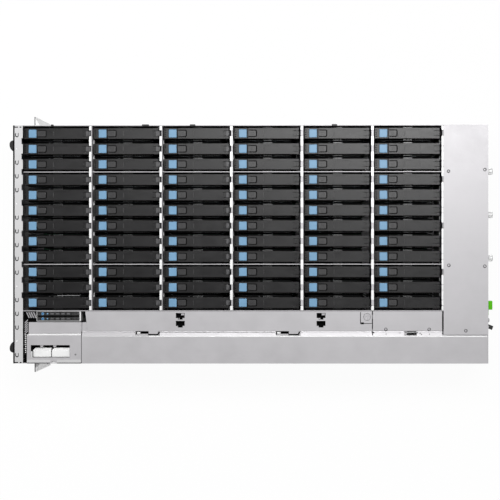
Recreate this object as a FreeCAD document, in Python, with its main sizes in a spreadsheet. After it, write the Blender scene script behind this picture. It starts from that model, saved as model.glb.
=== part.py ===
import FreeCAD, Part
import math
import os
import re

import Sketcher

# A four-unit rack storage server with its drive-bay lid off.
# Frame: origin under the middle of the floor, front at -X, rear at +X, left side at +Y, up +Z.
# Along a drive row, "u" is measured from the front end of that row's carriers.

SIZES = {
    # chassis shell
    "body_length": (890.0, "front face to rear face"),
    "body_width": (447.0, "outside of the side walls"),
    "body_height": (175.0, "four rack units less the fitting gap"),
    "gauge": (1.2, "steel sheet of walls, panels and covers"),
    "floor_gauge": (1.5, "steel sheet of the floor"),
    "flange_depth": (17.8, "top flange of the front panel"),
    "scallop_width": (11.0, "notch in the front flange between two carriers"),
    "scallop_depth": (2.4, "notch in the front flange between two carriers"),
    "lance_half": (3.2, "half width of the lanced tongues along the front flange"),
    "lance_slit": (1.1, "slit around each lanced tongue"),
    "lance_pitch": (25.8, "one lanced tongue to the next"),
    "lance_first": (205.1, "Y of the leftmost lanced tongue"),
    "lance_x": (6.5, "lanced tongues behind the front face"),
    "vent_width": (14.0, "air windows of the front panel"),
    "vent_pitch": (22.0, "air windows of the front panel"),
    "vent_height": (62.0, "air windows of the front and rear panels"),
    "rear_vent_width": (36.0, "air windows of the rear panel"),
    "rear_vent_pitch": (44.0, "air windows of the rear panel"),
    "rear_vent_count": (7, "air windows of the rear panel"),
    # drive field
    "row_start": (-426.5, "X of the front end of the first row"),
    "row_pitch": (131.8, "one drive row to the next"),
    "bay_pitch": (28.9, "one carrier to the next along a row"),
    "first_bay": (208.2, "Y of the leftmost carrier"),
    "bay_count": (12, "carriers in a row"),
    "drive_width": (101.6, "three-and-a-half-inch drive"),
    "drive_thickness": (26.1, "three-and-a-half-inch drive"),
    "drive_length": (147.0, "three-and-a-half-inch drive"),
    "drive_foot": (13.0, "Z of the drive's connector end"),
    "drive_u": (7.4, "front side of the drive"),
    "carrier_width": (20.4, "carrier frame and lever"),
    "carrier_top": (170.0, "Z of the closed lever"),
    "carrier_foot": (14.0, "Z of the carrier's feet"),
    "post_front": (0.5, "u of the front post"),
    "post_depth": (6.2, "posts of the carrier"),
    "rear_post": (109.5, "u of the rear post"),
    "bar_bottom": (160.4, "Z under the carrier's top bar"),
    "bar_gauge": (1.2, "the carrier's top bar"),
    "bezel_end": (25.8, "u of the end of the fixed bezel block"),
    "button_side": (15.6, "square blue release button"),
    "button_u": (9.0, "front edge of the release button"),
    "button_rise": (0.5, "release button above the bezel"),
    "button_travel": (2.0, "press of the release button"),
    "tongue_u": (108.0, "start of the carrier's pivot tongue"),
    "tongue_end": (124.3, "tip of the pivot tongue, in the divider's notch"),
    "tongue_width": (9.0, "pivot tongue"),
    "tongue_top": (168.5, "Z of the pivot tongue"),
    "lever_u": (26.3, "front end of the lever"),
    "lever_end": (116.5, "rear end of the lever's fork"),
    "lever_bottom": (163.0, "Z under the lever"),
    "fork_u": (106.8, "bottom of the lever's fork slot"),
    "fork_gap": (9.8, "width of the lever's fork slot"),
    "divider_u": (125.6, "front face of the row divider's wall"),
    "divider_gauge": (1.0, "row divider sheet"),
    "divider_top": (174.0, "Z of the divider's flange"),
    "divider_flange": (4.7, "divider flange, front to rear"),
    "divider_pitch": (132.2, "one row divider to the next"),
    "divider_notch": (10.9, "notch of the flange over each carrier"),
    "finger_length": (3.6, "guide fingers behind the divider"),
    "finger_width": (7.0, "guide fingers behind the divider"),
    "finger_z": (150.0, "Z of the guide fingers"),
    "partition_left": (135.95, "Y of the left lengthwise partition"),
    "partition_right": (-37.45, "Y of the right lengthwise partition"),
    "partition_gauge": (1.0, "lengthwise partition sheet"),
    "partition_top": (171.0, "Z of the partition's top edge"),
    "lap_height": (86.6, "Z where partitions and dividers lap"),
    "lap_play": (0.3, "play in the cross-lap slots"),
    "board_bottom": (3.5, "Z under the drive backplanes"),
    "board_gauge": (1.6, "circuit boards"),
    "socket_length": (44.0, "drive socket strips on the backplanes"),
    "socket_margin": (9.0, "ends of the socket strips from the board's sides"),
    "socket_height": (7.0, "drive socket strips on the backplanes"),
    # electronics channel on the right
    "channel_y": (-124.2, "left face of the channel wall"),
    "channel_top": (172.6, "Z of the channel wall and of the lip"),
    "lid_gap": (0.2, "lid above the lip"),
    "lid_front": (-310.0, "X of the channel lid's front edge"),
    "lid_rear": (227.5, "X of the channel lid's rear edge"),
    "lid_edge": (-162.7, "Y of the lids' right edge"),
    "lip_edge": (-160.0, "Y of the lip under the lids"),
    "step_low": (-168.6, "Y of the step's foot"),
    "step_high": (-172.0, "Y of the step's top"),
    "duct_front": (-316.5, "X of the side duct cover's front edge"),
    "tab_length": (17.8, "hook tabs on the lid's edge"),
    "tab_depth": (5.4, "hook tabs on the lid's edge"),
    "tab_front": (-191.2, "X of the first hook tab"),
    "tab_pitch": (263.2, "one hook tab to the other"),
    "hook_slot": (15.4, "slot in the lip in front of each hook tab"),
    "cutout_length": (16.6, "paired cut-outs of the channel lid"),
    "cutout_width": (9.4, "paired cut-outs of the channel lid"),
    "cutout_tail": (9.0, "tail of each cut-out"),
    "cutout_front": (-140.0, "X of the first pair of cut-outs"),
    "cutout_pitch": (263.9, "one pair of cut-outs to the other"),
    "lock_x": (218.4, "turn lock on the channel lid"),
    "lock_y": (-136.3, "turn lock on the channel lid"),
    "lock_radius": (6.5, "turn lock on the channel lid"),
    "lock_cam": (15.0, "cam of the turn lock, under the rear lid when shut"),
    "rear_lid_front": (229.3, "X of the fixed rear lid's front edge"),
    "rear_lid_rear": (358.7, "X of the fixed rear lid's rear edge"),
    "corner_front": (-419.7, "X of the front corner cover"),
    "corner_rear": (-317.6, "X of the front corner cover's rear edge"),
    "corner_left": (-146.0, "Y of the front corner cover's left edge"),
    "window_front": (-412.4, "service window in the corner cover"),
    "window_rear": (-339.0, "service window in the corner cover"),
    "window_left": (-189.0, "service window in the corner cover"),
    "window_right": (-212.0, "service window in the corner cover"),
    "block_length": (33.6, "white service blocks in the window"),
    "block_pitch": (35.2, "one service block to the other"),
    "block_front": (-408.4, "X of the first service block"),
    "block_left": (-194.4, "Y of the service blocks' left side"),
    "block_width": (17.0, "white service blocks"),
    "block_top": (171.8, "Z of the service blocks"),
    "block_height": (22.0, "white service blocks"),
    "block_chamfer": (3.0, "cut corner of the service blocks"),
    "sled_length": (79.4, "solid-state drive sled"),
    "sled_width": (7.0, "solid-state drive sled"),
    "sled_height": (105.0, "solid-state drive sled"),
    "sled_top": (170.5, "Z of the sleds"),
    "sled_front": (-401.1, "X of the sleds' front side"),
    "sled_first": (-130.4, "Y of the first sled's middle"),
    "sled_pitch": (9.4, "one sled to the other"),
    "sled_button_x": (10.4, "round button behind the sled's front side"),
    "sled_button_radius": (2.7, "round release button of a sled"),
    "cage_wall": (0.8, "sheet of the sled cage"),
    # front and rear fittings
    "handle_reach": (20.5, "front handles beyond the front face"),
    "handle_width": (24.0, "front handles"),
    "handle_y": (189.6, "Y of the left handle's middle"),
    "handle_right_y": (-197.3, "Y of the right handle's middle"),
    "handle_bottom": (38.0, "Z of the front handles"),
    "handle_height": (78.0, "front handles"),
    "finger_gap": (52.0, "opening of the front handles"),
    "power_y": (-213.0, "Y of the power button"),
    "power_z": (150.0, "Z of the power button"),
    "power_radius": (5.0, "power button"),
    "ear_x": (-409.4, "front face of the rack ears"),
    "ear_gauge": (2.0, "rack ear sheet"),
    "ear_tip": (241.3, "half of the nineteen-inch panel width"),
    "ear_bottom": (4.5, "Z of the rack ears"),
    "ear_top": (154.0, "Z of the rack ears"),
    "ear_foot": (27.0, "foot of the ear along the side wall"),
    "gusset_length": (11.4, "triangular gusset of the ear"),
    "rack_slot_y": (232.55, "half of the rack's hole spacing"),
    "rack_slot_length": (11.0, "end to end"),
    "rack_slot_radius": (3.5, "half the slot's width"),
    "rack_slot_low": (37.3, "Z of the lower slot"),
    "rack_slot_rise": (101.6, "lower slot to upper slot"),
    "cover_front": (361.6, "X of the rear cover's front edge"),
    "cover_right": (-169.6, "Y of the rear cover's right edge"),
    "cover_bend": (7.0, "bent front edge of the rear cover"),
    "fan_first": (172.0, "Y of the first fan module's middle"),
    "fan_pitch": (81.67, "one fan module to the next"),
    "fan_axis_z": (122.0, "Z of the fan shafts"),
    "fan_width": (78.0, "fan module across"),
    "fan_height": (80.0, "fan module upright"),
    "fan_front": (370.0, "X of the fan module's front end"),
    "fan_bore_radius": (37.0, "air bore of the fan module"),
    "fan_play": (0.5, "fan module in the rear panel's opening"),
    "face_overlap": (1.3, "fan face plate beyond the module's sides"),
    "thumb_y": (-35.0, "thumbscrew from the fan's middle"),
    "thumb_z": (32.5, "thumbscrew above the fan's shaft"),
    "thumb_radius": (5.6, "thumbscrew head"),
    "thumb_length": (8.6, "thumbscrew head"),
    "rotor_front": (385.0, "X of the rotor's nose"),
    "rotor_length": (46.0, "rotor hub"),
    "hub_radius": (15.0, "rotor hub"),
    "blade_reach": (31.5, "flat of the fan blade tips from the shaft"),
    "blade_root": (23.0, "fan blade chord at the hub"),
    "blade_tip": (30.0, "fan blade chord at the tip"),
    "blade_skew": (2.0, "tip ahead of the root"),
    "blade_gauge": (1.6, "fan blade section"),
    "blade_count": (7, "blades of a rotor"),
    "power_box_left": (-128.0, "Y of the power supplies' left side"),
    "power_box_width": (40.0, "power supply"),
    "power_box_height": (78.0, "power supply"),
    "power_box_length": (184.0, "power supply"),
    "power_box_low": (5.0, "Z of the lower power supply"),
    "power_box_pitch": (83.0, "lower to upper power supply"),
    "power_box_face": (446.0, "X of the power supplies' rear faces"),
    "io_left": (-36.0, "Y of the rear port module's left side"),
    "io_width": (74.0, "rear port module"),
    "io_bottom": (82.0, "Z of the rear port module"),
    "io_height": (80.0, "rear port module"),
    "main_front": (-300.0, "X of the main board's front edge"),
    "main_rear": (240.0, "X of the main board's rear edge"),
    "main_bottom": (12.0, "Z of the main board"),
    "main_top": (160.0, "Z of the main board"),
    "main_y": (-220.6, "Y of the main board's right face"),
    "sink_side": (78.0, "processor heat sink"),
    "sink_depth": (34.0, "processor heat sink"),
    "sink_base": (6.0, "base of the heat sink"),
    "sink_first": (-190.0, "X of the first heat sink"),
    "sink_pitch": (180.0, "one heat sink to the other"),
    "fin_gauge": (1.5, "heat sink fins"),
    "fin_pitch": (7.65, "heat sink fins"),
}
ROWS = 6
FANS = 3
# places along the front flange, and those of them that have only a pilot hole, not a lanced tongue
FLANGE_PLACES = 17
PILOT_PLACES = (1, 5, 11, 15)
# gaps between carriers that a lengthwise partition takes, counted from the left
PARTITION_GAPS = (3, 9)

doc = FreeCAD.newDocument("storage_server")
sheet = doc.addObject("Spreadsheet::Sheet", "sizes")
for line, (alias, (number, meaning)) in enumerate(SIZES.items(), start=1):
    sheet.set(f"A{line}", meaning)
    sheet.set(f"B{line}", str(number))
    sheet.setAlias(f"B{line}", alias)
doc.recompute()

ALIAS_WORD = re.compile(r"\b(" + "|".join(sorted(SIZES, key=len, reverse=True)) + r")\b")
NODES = []


def cell(expression):
    """Write a formula of size names as an expression on the sheet."""
    return ALIAS_WORD.sub(r"sizes.\1", str(expression))


def size(alias):
    """Read one size from the sheet."""
    return float(sheet.get(alias))


def keep(piece, name):
    """Name a finished sub-part; its label names its file."""
    piece.Label = name
    NODES.append(piece)
    return piece


def new_body(name):
    """Start a sub-part that is made of sketched features."""
    return doc.addObject("PartDesign::Body", name)


def origin_part(body, role):
    """Find one of the body's own planes or axes."""
    return next(part for part in body.Origin.OriginFeatures if part.Role == role)


def bind(sketch, kind, ends, formula):
    """Add one dimension to a sketch and tie it to the sheet."""
    index = sketch.addConstraint(Sketcher.Constraint(kind, *ends, 1.0))
    sketch.setExpression(f"Constraints[{index}]", cell(formula))


def draw_polygon(sketch, points):
    """Draw a closed outline whose corners are formulas."""
    count = len(points)
    rough = [FreeCAD.Vector(index, index * index % 7, 0) for index in range(count)]
    sides = [Part.LineSegment(rough[index], rough[(index + 1) % count]) for index in range(count)]
    lines = sketch.addGeometry(sides, False)
    for index in range(count):
        following = lines[(index + 1) % count]
        sketch.addConstraint(Sketcher.Constraint("Coincident", lines[index], 2, following, 1))
    for index, (across, up) in enumerate(points):
        bind(sketch, "DistanceX", (-1, 1, lines[index], 1), across)
        bind(sketch, "DistanceY", (-1, 1, lines[index], 1), up)


def draw_circle(sketch, across, up, radius):
    """Draw a circle whose centre and radius are formulas."""
    ring = sketch.addGeometry(Part.Circle(), False)
    bind(sketch, "DistanceX", (-1, 1, ring, 3), across)
    bind(sketch, "DistanceY", (-1, 1, ring, 3), up)
    bind(sketch, "Radius", (ring,), radius)


def rectangle(low_across, low_up, high_across, high_up):
    """Give the four corners of an upright rectangle as formulas."""
    return [(low_across, low_up), (high_across, low_up), (high_across, high_up), (low_across, high_up)]


def draw(body, plane, start, polygons=(), circles=()):
    """Sketch outlines on one of the body's planes, moved to start along the plane's axis."""
    sketch = body.newObject("Sketcher::SketchObject", body.Name + "_sketch")
    sketch.AttachmentSupport = [(origin_part(body, plane), "")]
    sketch.MapMode = "FlatFace"
    lift = f"-({start})" if plane == "XZ_Plane" else start
    sketch.setExpression("AttachmentOffset.Base.z", cell(lift))
    for points in polygons:
        draw_polygon(sketch, points)
    for circle in circles:
        draw_circle(sketch, *circle)
    return sketch


def add(body, plane, start, length, polygons=(), circles=()):
    """Pad outlines from start, along the plane's axis in its positive sense."""
    pad = body.newObject("PartDesign::Pad", body.Name + "_pad")
    pad.Profile = draw(body, plane, start, polygons, circles)
    pad.setExpression("Length", cell(length))
    pad.Reversed = plane == "XZ_Plane"
    body.Tip = pad
    return pad


def cut(body, plane, start, length, polygons=(), circles=()):
    """Pocket outlines from start, along the plane's axis in its positive sense."""
    pocket = body.newObject("PartDesign::Pocket", body.Name + "_pocket")
    pocket.Profile = draw(body, plane, start, polygons, circles)
    pocket.setExpression("Length", cell(length))
    pocket.Reversed = plane != "XZ_Plane"
    body.Tip = pocket
    return pocket


def repeat(body, feature, axis, pitch, count, backwards=False):
    """Repeat a feature along one of the body's axes."""
    pattern = body.newObject("PartDesign::LinearPattern", body.Name + "_pattern")
    pattern.Originals = [feature]
    pattern.Direction = (origin_part(body, axis), [""])
    pattern.Reversed = backwards
    pattern.setExpression("Length", cell(f"({pitch}) * ({count} - 1)"))
    pattern.setExpression("Occurrences", cell(count))
    body.Tip = pattern
    return pattern


def place(body, **formulas):
    """Tie the body's position to the sheet, one axis at a time."""
    for axis, formula in formulas.items():
        body.setExpression(f"Placement.Base.{axis}", cell(formula))


def group(name, shapes):
    """Keep several separate solids as one sub-part."""
    piece = doc.addObject("Part::Feature", name)
    piece.Shape = Part.makeCompound(shapes)
    piece.Placement = FreeCAD.Placement()
    return keep(piece, name)


def make_base_pan():
    """Floor and both side walls, folded from one sheet."""
    body = new_body("base_pan")
    half = "body_width / 2"
    inside = "(body_width / 2 - gauge)"
    top = "body_height - gauge"
    trough = [
        (f"-{half}", "0"), (half, "0"), (half, top), (inside, top),
        (inside, "floor_gauge"), (f"-{inside}", "floor_gauge"), (f"-{inside}", top), (f"-{half}", top),
    ]
    add(body, "YZ_Plane", "gauge - body_length / 2", "body_length - 2 * gauge", [trough])
    return keep(body, "base_pan")


def lance_slit(middle_x, middle_y):
    """Outline of the U-shaped slit that frees a small tongue in the front flange."""
    outer = "lance_half"
    inner = "(lance_half - lance_slit)"
    corner = "lance_slit"
    half = [
        (outer, outer), (outer, f"(lance_slit - {outer})"), (f"({outer} - {corner})", f"(-{outer})"),
        (f"({inner} - {corner} / 2)", f"(lance_slit - {outer})"), (inner, f"(2 * lance_slit - {outer})"),
        (inner, outer),
    ]
    right = [half[0], half[1], half[2]]
    left = [half[2], half[1], half[0], half[5], half[4], half[3]]
    points = [(f"{middle_x} + {across}", f"{middle_y} + {up}") for across, up in right]
    points += [(f"{middle_x} - {across}", f"{middle_y} + {up}") for across, up in left]
    points += [(f"{middle_x} + {across}", f"{middle_y} + {up}") for across, up in half[3:]]
    return points


def make_front_panel():
    """Front sheet with air slots, folded back at the top into the scalloped flange."""
    body = new_body("front_panel")
    front = "(-body_length / 2)"
    fold = [
        (front, "0"), (f"{front} + gauge", "0"), (f"{front} + gauge", "body_height - gauge"),
        (f"{front} + flange_depth", "body_height - gauge"), (f"{front} + flange_depth", "body_height"),
        (front, "body_height"),
    ]
    add(body, "XZ_Plane", "-body_width / 2", "body_width", [fold])
    first_gap = "first_bay - bay_pitch / 2"
    scallop = rectangle(
        f"{front} + flange_depth - scallop_depth", f"{first_gap} - scallop_width / 2",
        f"{front} + flange_depth + 1", f"{first_gap} + scallop_width / 2",
    )
    scallops = cut(body, "XY_Plane", "body_height - gauge - 1", "gauge + 2", [scallop])
    repeat(body, scallops, "Y_Axis", "bay_pitch", "bay_count - 1", backwards=True)
    slits = [
        lance_slit(f"({front} + lance_x)", f"(lance_first - {spot} * lance_pitch)")
        for spot in range(FLANGE_PLACES) if spot not in PILOT_PLACES
    ]
    cut(body, "XY_Plane", "body_height - gauge - 1", "gauge + 2", slits)
    windows = [rectangle("-160", low, "vent_width - 160", f"{low} + vent_height") for low in ("22", "96")]
    vents = cut(body, "YZ_Plane", f"{front} - 1", "gauge + 2", windows)
    repeat(body, vents, "Y_Axis", "vent_pitch", "15")
    power = ("power_y", "power_z", "power_radius + 0.4")
    cut(body, "YZ_Plane", f"{front} - 1", "gauge + 2", circles=[power])
    return keep(body, "front_panel")


def make_rack_ear():
    """Left rack ear: slotted flange, foot along the side wall and triangular gussets."""
    body = new_body("rack_ear_left")
    side = "body_width / 2"
    angle = [
        ("ear_x", side), ("ear_x + ear_foot", side), ("ear_x + ear_foot", f"{side} + gauge"),
        ("ear_x + ear_gauge", f"{side} + gauge"), ("ear_x + ear_gauge", "ear_tip"), ("ear_x", "ear_tip"),
    ]
    add(body, "XY_Plane", "ear_bottom", "ear_top - ear_bottom", [angle])
    triangle = [("ear_x", side), ("ear_x + gusset_length", side), ("ear_x", "ear_tip")]
    for low in ("ear_bottom", "ear_top - ear_gauge"):
        add(body, "XY_Plane", low, "ear_gauge", [triangle])
    reach = "(rack_slot_length / 2 - rack_slot_radius)"
    for height in ("rack_slot_low", "rack_slot_low + rack_slot_rise"):
        middle = rectangle(
            f"rack_slot_y - {reach}", f"{height} - rack_slot_radius",
            f"rack_slot_y + {reach}", f"{height} + rack_slot_radius",
        )
        cut(body, "YZ_Plane", "ear_x - 1", "ear_gauge + 2", [middle])
        for sign in ("-", "+"):
            end = (f"rack_slot_y {sign} {reach}", height, "rack_slot_radius")
            cut(body, "YZ_Plane", "ear_x - 1", "ear_gauge + 2", circles=[end])
    keep(body, "rack_ear_left")
    mirror = doc.addObject("Part::Mirroring", "rack_ear_right")
    mirror.Source = body
    mirror.Normal = FreeCAD.Vector(0, 1, 0)
    return keep(mirror, "rack_ear_right")


def make_front_handle(name, middle, outward):
    """Pull handle: a rounded bow off the front face, highest towards its outer side."""
    body = new_body(name)
    face = "(-body_length / 2)"
    half = "handle_width / 2"
    nose = f"{face} - handle_reach"
    brow = f"{face} - 0.86 * handle_reach"
    cheek = f"{face} - 0.60 * handle_reach"
    bow = [
        (face, f"{middle} - {half}"), (cheek, f"{middle} - {half} + 1.5"),
        (brow, f"{middle} + {outward} * 1.25 - 6.75"), (nose, f"{middle} + {outward} * 2.5 - 2"),
        (nose, f"{middle} + {outward} * 2.5 + 2"), (brow, f"{middle} + {outward} * 1.25 + 6.75"),
        (cheek, f"{middle} + {half} - 1.5"), (face, f"{middle} + {half}"),
    ]
    add(body, "XY_Plane", "handle_bottom", "handle_height", [bow])
    low = "(handle_bottom + (handle_height - finger_gap) / 2)"
    gap = rectangle(f"{face} - handle_reach + 6.5", low, f"{face} + 1", f"{low} + finger_gap")
    cut(body, "XZ_Plane", f"{middle} - handle_width", "2 * handle_width", [gap])
    return body


def make_front_handles():
    """The two front handles, mirror images of each other in plan."""
    left = make_front_handle("handle_left", "handle_y", "1")
    right = make_front_handle("handle_right", "handle_right_y", "-1")
    doc.recompute()
    return group("front_handles", [left.Shape, right.Shape])


def make_power_button():
    """Power button in the front panel."""
    body = new_body("power_button")
    face = ("power_y", "power_z", "power_radius")
    add(body, "YZ_Plane", "-body_length / 2 - 2", "7", circles=[face])
    return keep(body, "power_button")


def make_row_divider(name, fingered):
    """Wall across the drive field: notched top flange, guide fingers, cross-lap slots below."""
    body = new_body(name)
    right = "channel_y + 0.3"
    left = "body_width / 2 - gauge - 0.3"
    top = "divider_top"
    fold = [
        ("divider_u", "floor_gauge"), ("divider_u + divider_gauge", "floor_gauge"),
        ("divider_u + divider_gauge", top), ("divider_u + divider_gauge - divider_flange", top),
        ("divider_u + divider_gauge - divider_flange", f"{top} - gauge"), ("divider_u", f"{top} - gauge"),
    ]
    add(body, "XZ_Plane", right, f"({left}) - ({right})", [fold])
    notch = rectangle(
        "divider_u + divider_gauge - divider_flange - 1", "first_bay - divider_notch / 2",
        "divider_u", "first_bay + divider_notch / 2",
    )
    notches = cut(body, "XY_Plane", f"{top} - gauge - 1", "gauge + 2", [notch])
    repeat(body, notches, "Y_Axis", "bay_pitch", "bay_count", backwards=True)
    finger_back = "divider_u + divider_gauge + finger_length"
    fingers = []
    for gap in range(1, int(size("bay_count"))):
        if fingered and gap not in PARTITION_GAPS:
            middle = f"first_bay - bay_pitch * ({gap} - 0.5)"
            fingers.append(rectangle(
                "divider_u + divider_gauge", f"{middle} - finger_width / 2",
                finger_back, f"{middle} + finger_width / 2",
            ))
    if fingers:
        add(body, "XY_Plane", "finger_z", "gauge", fingers)
    laps = [
        rectangle(
            f"{middle} - partition_gauge / 2 - lap_play", "0",
            f"{middle} + partition_gauge / 2 + lap_play", "lap_height + lap_play",
        )
        for middle in ("partition_left", "partition_right")
    ]
    cut(body, "YZ_Plane", "divider_u - 1", "divider_gauge + 2", laps)
    return body


def make_partition(name, middle):
    """Lengthwise wall of the drive field, slotted from above at every divider but the last."""
    body = new_body(name)
    last = f"row_start + {ROWS - 1} * divider_pitch + divider_u - 0.4"
    wall = rectangle("row_start", "floor_gauge", last, "partition_top")
    add(body, "XZ_Plane", f"{middle} - partition_gauge / 2", "partition_gauge", [wall])
    slot = rectangle(
        "row_start + divider_u - lap_play", "lap_height - lap_play",
        "row_start + divider_u + divider_gauge + lap_play", "body_height",
    )
    slots = cut(body, "XZ_Plane", f"{middle} - partition_gauge / 2 - 1", "partition_gauge + 2", [slot])
    repeat(body, slots, "X_Axis", "divider_pitch", str(ROWS - 1))
    return body


def make_drive():
    """Drive standing on its connector end."""
    body = new_body("drive")
    outline = rectangle("drive_u", "-drive_thickness / 2", "drive_u + drive_width", "drive_thickness / 2")
    add(body, "XY_Plane", "drive_foot", "drive_length", [outline])
    return body


def make_carrier():
    """Carrier frame: two posts, top bar, bezel block with the button's well, pivot tongue."""
    body = new_body("carrier")
    front = "post_front"
    inner_front = "post_front + post_depth"
    rear_end = "rear_post + post_depth"
    bar_top = "bar_bottom + bar_gauge"
    side = [
        (front, "carrier_foot"), (inner_front, "carrier_foot"), (inner_front, "bar_bottom"),
        ("rear_post", "bar_bottom"), ("rear_post", "carrier_foot"), (rear_end, "carrier_foot"),
        (rear_end, bar_top), ("bezel_end", bar_top), ("bezel_end", "carrier_top"), (front, "carrier_top"),
    ]
    add(body, "XZ_Plane", "-carrier_width / 2", "carrier_width", [side])
    tongue = rectangle("tongue_u", bar_top, "tongue_end", "tongue_top")
    add(body, "XZ_Plane", "-tongue_width / 2", "tongue_width", [tongue])
    well = rectangle(
        "button_u - 0.2", "-button_side / 2 - 0.2", "button_u + button_side + 0.2", "button_side / 2 + 0.2",
    )
    cut(body, "XY_Plane", "carrier_top - 6", "7", [well])
    return body


def make_lever():
    """Ejector lever: a bar with a forked end that straddles the carrier's tongue."""
    body = new_body("lever")
    half = "carrier_width / 2"
    plan = [
        ("lever_u", f"-{half}"), ("lever_end", f"-{half}"), ("lever_end", "-fork_gap / 2"),
        ("fork_u", "-fork_gap / 2"), ("fork_u", "fork_gap / 2"), ("lever_end", "fork_gap / 2"),
        ("lever_end", half), ("lever_u", half),
    ]
    add(body, "XY_Plane", "lever_bottom", "carrier_top - lever_bottom", [plan])
    return body


def make_release():
    """Square release button in the bezel's well."""
    body = new_body("release")
    outline = rectangle("button_u", "-button_side / 2", "button_u + button_side", "button_side / 2")
    bottom = "carrier_top - 6 + button_travel + 0.3"
    add(body, "XY_Plane", bottom, f"carrier_top + button_rise - ({bottom})", [outline])
    return body


def make_backplane_shapes(row_x):
    """One row's backplane boards, one for each bank of bays, and their strips of drive sockets."""
    low = size("board_bottom")
    top = low + size("board_gauge")
    right = size("channel_y") + 1.5
    left = size("body_width") / 2 - size("gauge") - 1.5
    board = Part.makeBox(
        size("tongue_u"), left - right, size("board_gauge"), FreeCAD.Vector(row_x + 6, right, low)
    )
    for middle in (size("partition_left"), size("partition_right")):
        gap = 2 * size("partition_gauge")
        slit = Part.makeBox(
            size("row_pitch"), gap, 4 * size("board_gauge"), FreeCAD.Vector(row_x, middle - gap / 2, 0)
        )
        board = board.cut(slit)
    shapes = list(board.Solids)
    for board in list(shapes):
        bounds = board.BoundBox
        margin = size("socket_margin")
        corner = FreeCAD.Vector(row_x + size("drive_u") + 20, bounds.YMin + margin, top)
        strip = bounds.YLength - 2 * margin
        shapes.append(Part.makeBox(size("socket_length"), strip, size("socket_height"), corner))
    return shapes


def make_drive_field():
    """Dividers, partitions and the six rows of carriers with drives, levers and buttons."""
    divider = make_row_divider("row_divider", True)
    last_divider = make_row_divider("last_divider", False)
    partitions = [
        make_partition(f"partition_{hand}", f"partition_{hand}") for hand in ("left", "right")
    ]
    masters = {
        "drives": make_drive(), "carriers": make_carrier(),
        "levers": make_lever(), "releases": make_release(),
    }
    doc.recompute()
    starts = [size("row_start") + row * size("row_pitch") for row in range(ROWS)]
    walls = [divider] * (ROWS - 1) + [last_divider]
    dividers = []
    for row, wall in enumerate(walls):
        spot = FreeCAD.Vector(starts[0] + row * size("divider_pitch"), 0, 0)
        dividers.append(wall.Shape.translated(spot))
    group("row_dividers", dividers)
    group("drive_partitions", [partition.Shape for partition in partitions])
    for row, start in enumerate(starts, start=1):
        for kind, master in masters.items():
            places = [
                FreeCAD.Vector(start, size("first_bay") - bay * size("bay_pitch"), 0)
                for bay in range(int(size("bay_count")))
            ]
            group(f"{kind}_row_{row}", [master.Shape.translated(spot) for spot in places])
    boards = []
    for start in starts:
        boards.extend(make_backplane_shapes(start))
    group("drive_backplanes", boards)


def make_channel_wall():
    """Wall between the drive field and the electronics channel."""
    body = new_body("channel_wall")
    wall = rectangle("-body_length / 2 + flange_depth", "floor_gauge", "cover_front", "channel_top")
    add(body, "XZ_Plane", "channel_y - gauge", "gauge", [wall])
    return keep(body, "channel_wall")


def make_side_duct_cover():
    """Cover along the right side, stepped down to the lip that the lids hook on."""
    body = new_body("side_duct_cover")
    side = "-body_width / 2"
    top = "body_height"
    fold = [
        (side, f"{top} - gauge"), ("step_high - 0.4", f"{top} - gauge"),
        ("step_low - 0.4", "channel_top - gauge"), ("lip_edge", "channel_top - gauge"),
        ("lip_edge", "channel_top"), ("step_low", "channel_top"), ("step_high", top), (side, top),
    ]
    add(body, "YZ_Plane", "duct_front", "body_length / 2 - 1.8 - duct_front", [fold])
    slot = rectangle(
        "tab_front - hook_slot", "lid_edge - tab_depth + 0.2", "tab_front", "lid_edge - 0.4",
    )
    slots = cut(body, "XY_Plane", "channel_top - gauge - 1", "gauge + 2", [slot])
    repeat(body, slots, "X_Axis", "tab_pitch", "2")
    rear_slot = rectangle("293", "lid_edge - tab_depth + 0.2", "310.5", "lid_edge - 0.4")
    cut(body, "XY_Plane", "channel_top - gauge - 1", "gauge + 2", [rear_slot])
    return keep(body, "side_duct_cover")


def make_channel_lid():
    """Sliding lid of the channel, with hook tabs, paired cut-outs and the lock's hole."""
    body = new_body("channel_lid")
    left = "channel_y - gauge - 0.4"
    low = "channel_top + lid_gap"
    reach = "lid_edge - tab_depth"
    second = "tab_front + tab_pitch"
    plan = [
        ("lid_front", left), ("lid_front + 4", "lid_edge"),
        ("tab_front", "lid_edge"), ("tab_front", reach),
        ("tab_front + tab_length", reach), ("tab_front + tab_length", "lid_edge"),
        (second, "lid_edge"), (second, reach),
        (f"{second} + tab_length", reach), (f"{second} + tab_length", "lid_edge"),
        ("lid_rear", "lid_edge"), ("lid_rear", left),
    ]
    add(body, "XY_Plane", low, "gauge", [plan])
    pair = []
    for top_edge in ("-128.8", "-143.6"):
        shoulder = f"{top_edge} - cutout_width"
        tail = "(cutout_length - cutout_tail) / 2"
        pair.append([
            ("cutout_front", top_edge), ("cutout_front", shoulder),
            (f"cutout_front + {tail}", shoulder), (f"cutout_front + {tail}", f"{shoulder} - 3"),
            (f"cutout_front + cutout_length - {tail}", f"{shoulder} - 3"),
            (f"cutout_front + cutout_length - {tail}", shoulder),
            ("cutout_front + cutout_length", shoulder), ("cutout_front + cutout_length", top_edge),
        ])
    pairs = cut(body, "XY_Plane", f"{low} - 1", "gauge + 2", pair)
    repeat(body, pairs, "X_Axis", "cutout_pitch", "2")
    cut(body, "XY_Plane", f"{low} - 1", "gauge + 2", circles=[("lock_x", "lock_y", "lock_radius + 0.35")])
    return keep(body, "channel_lid")


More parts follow.
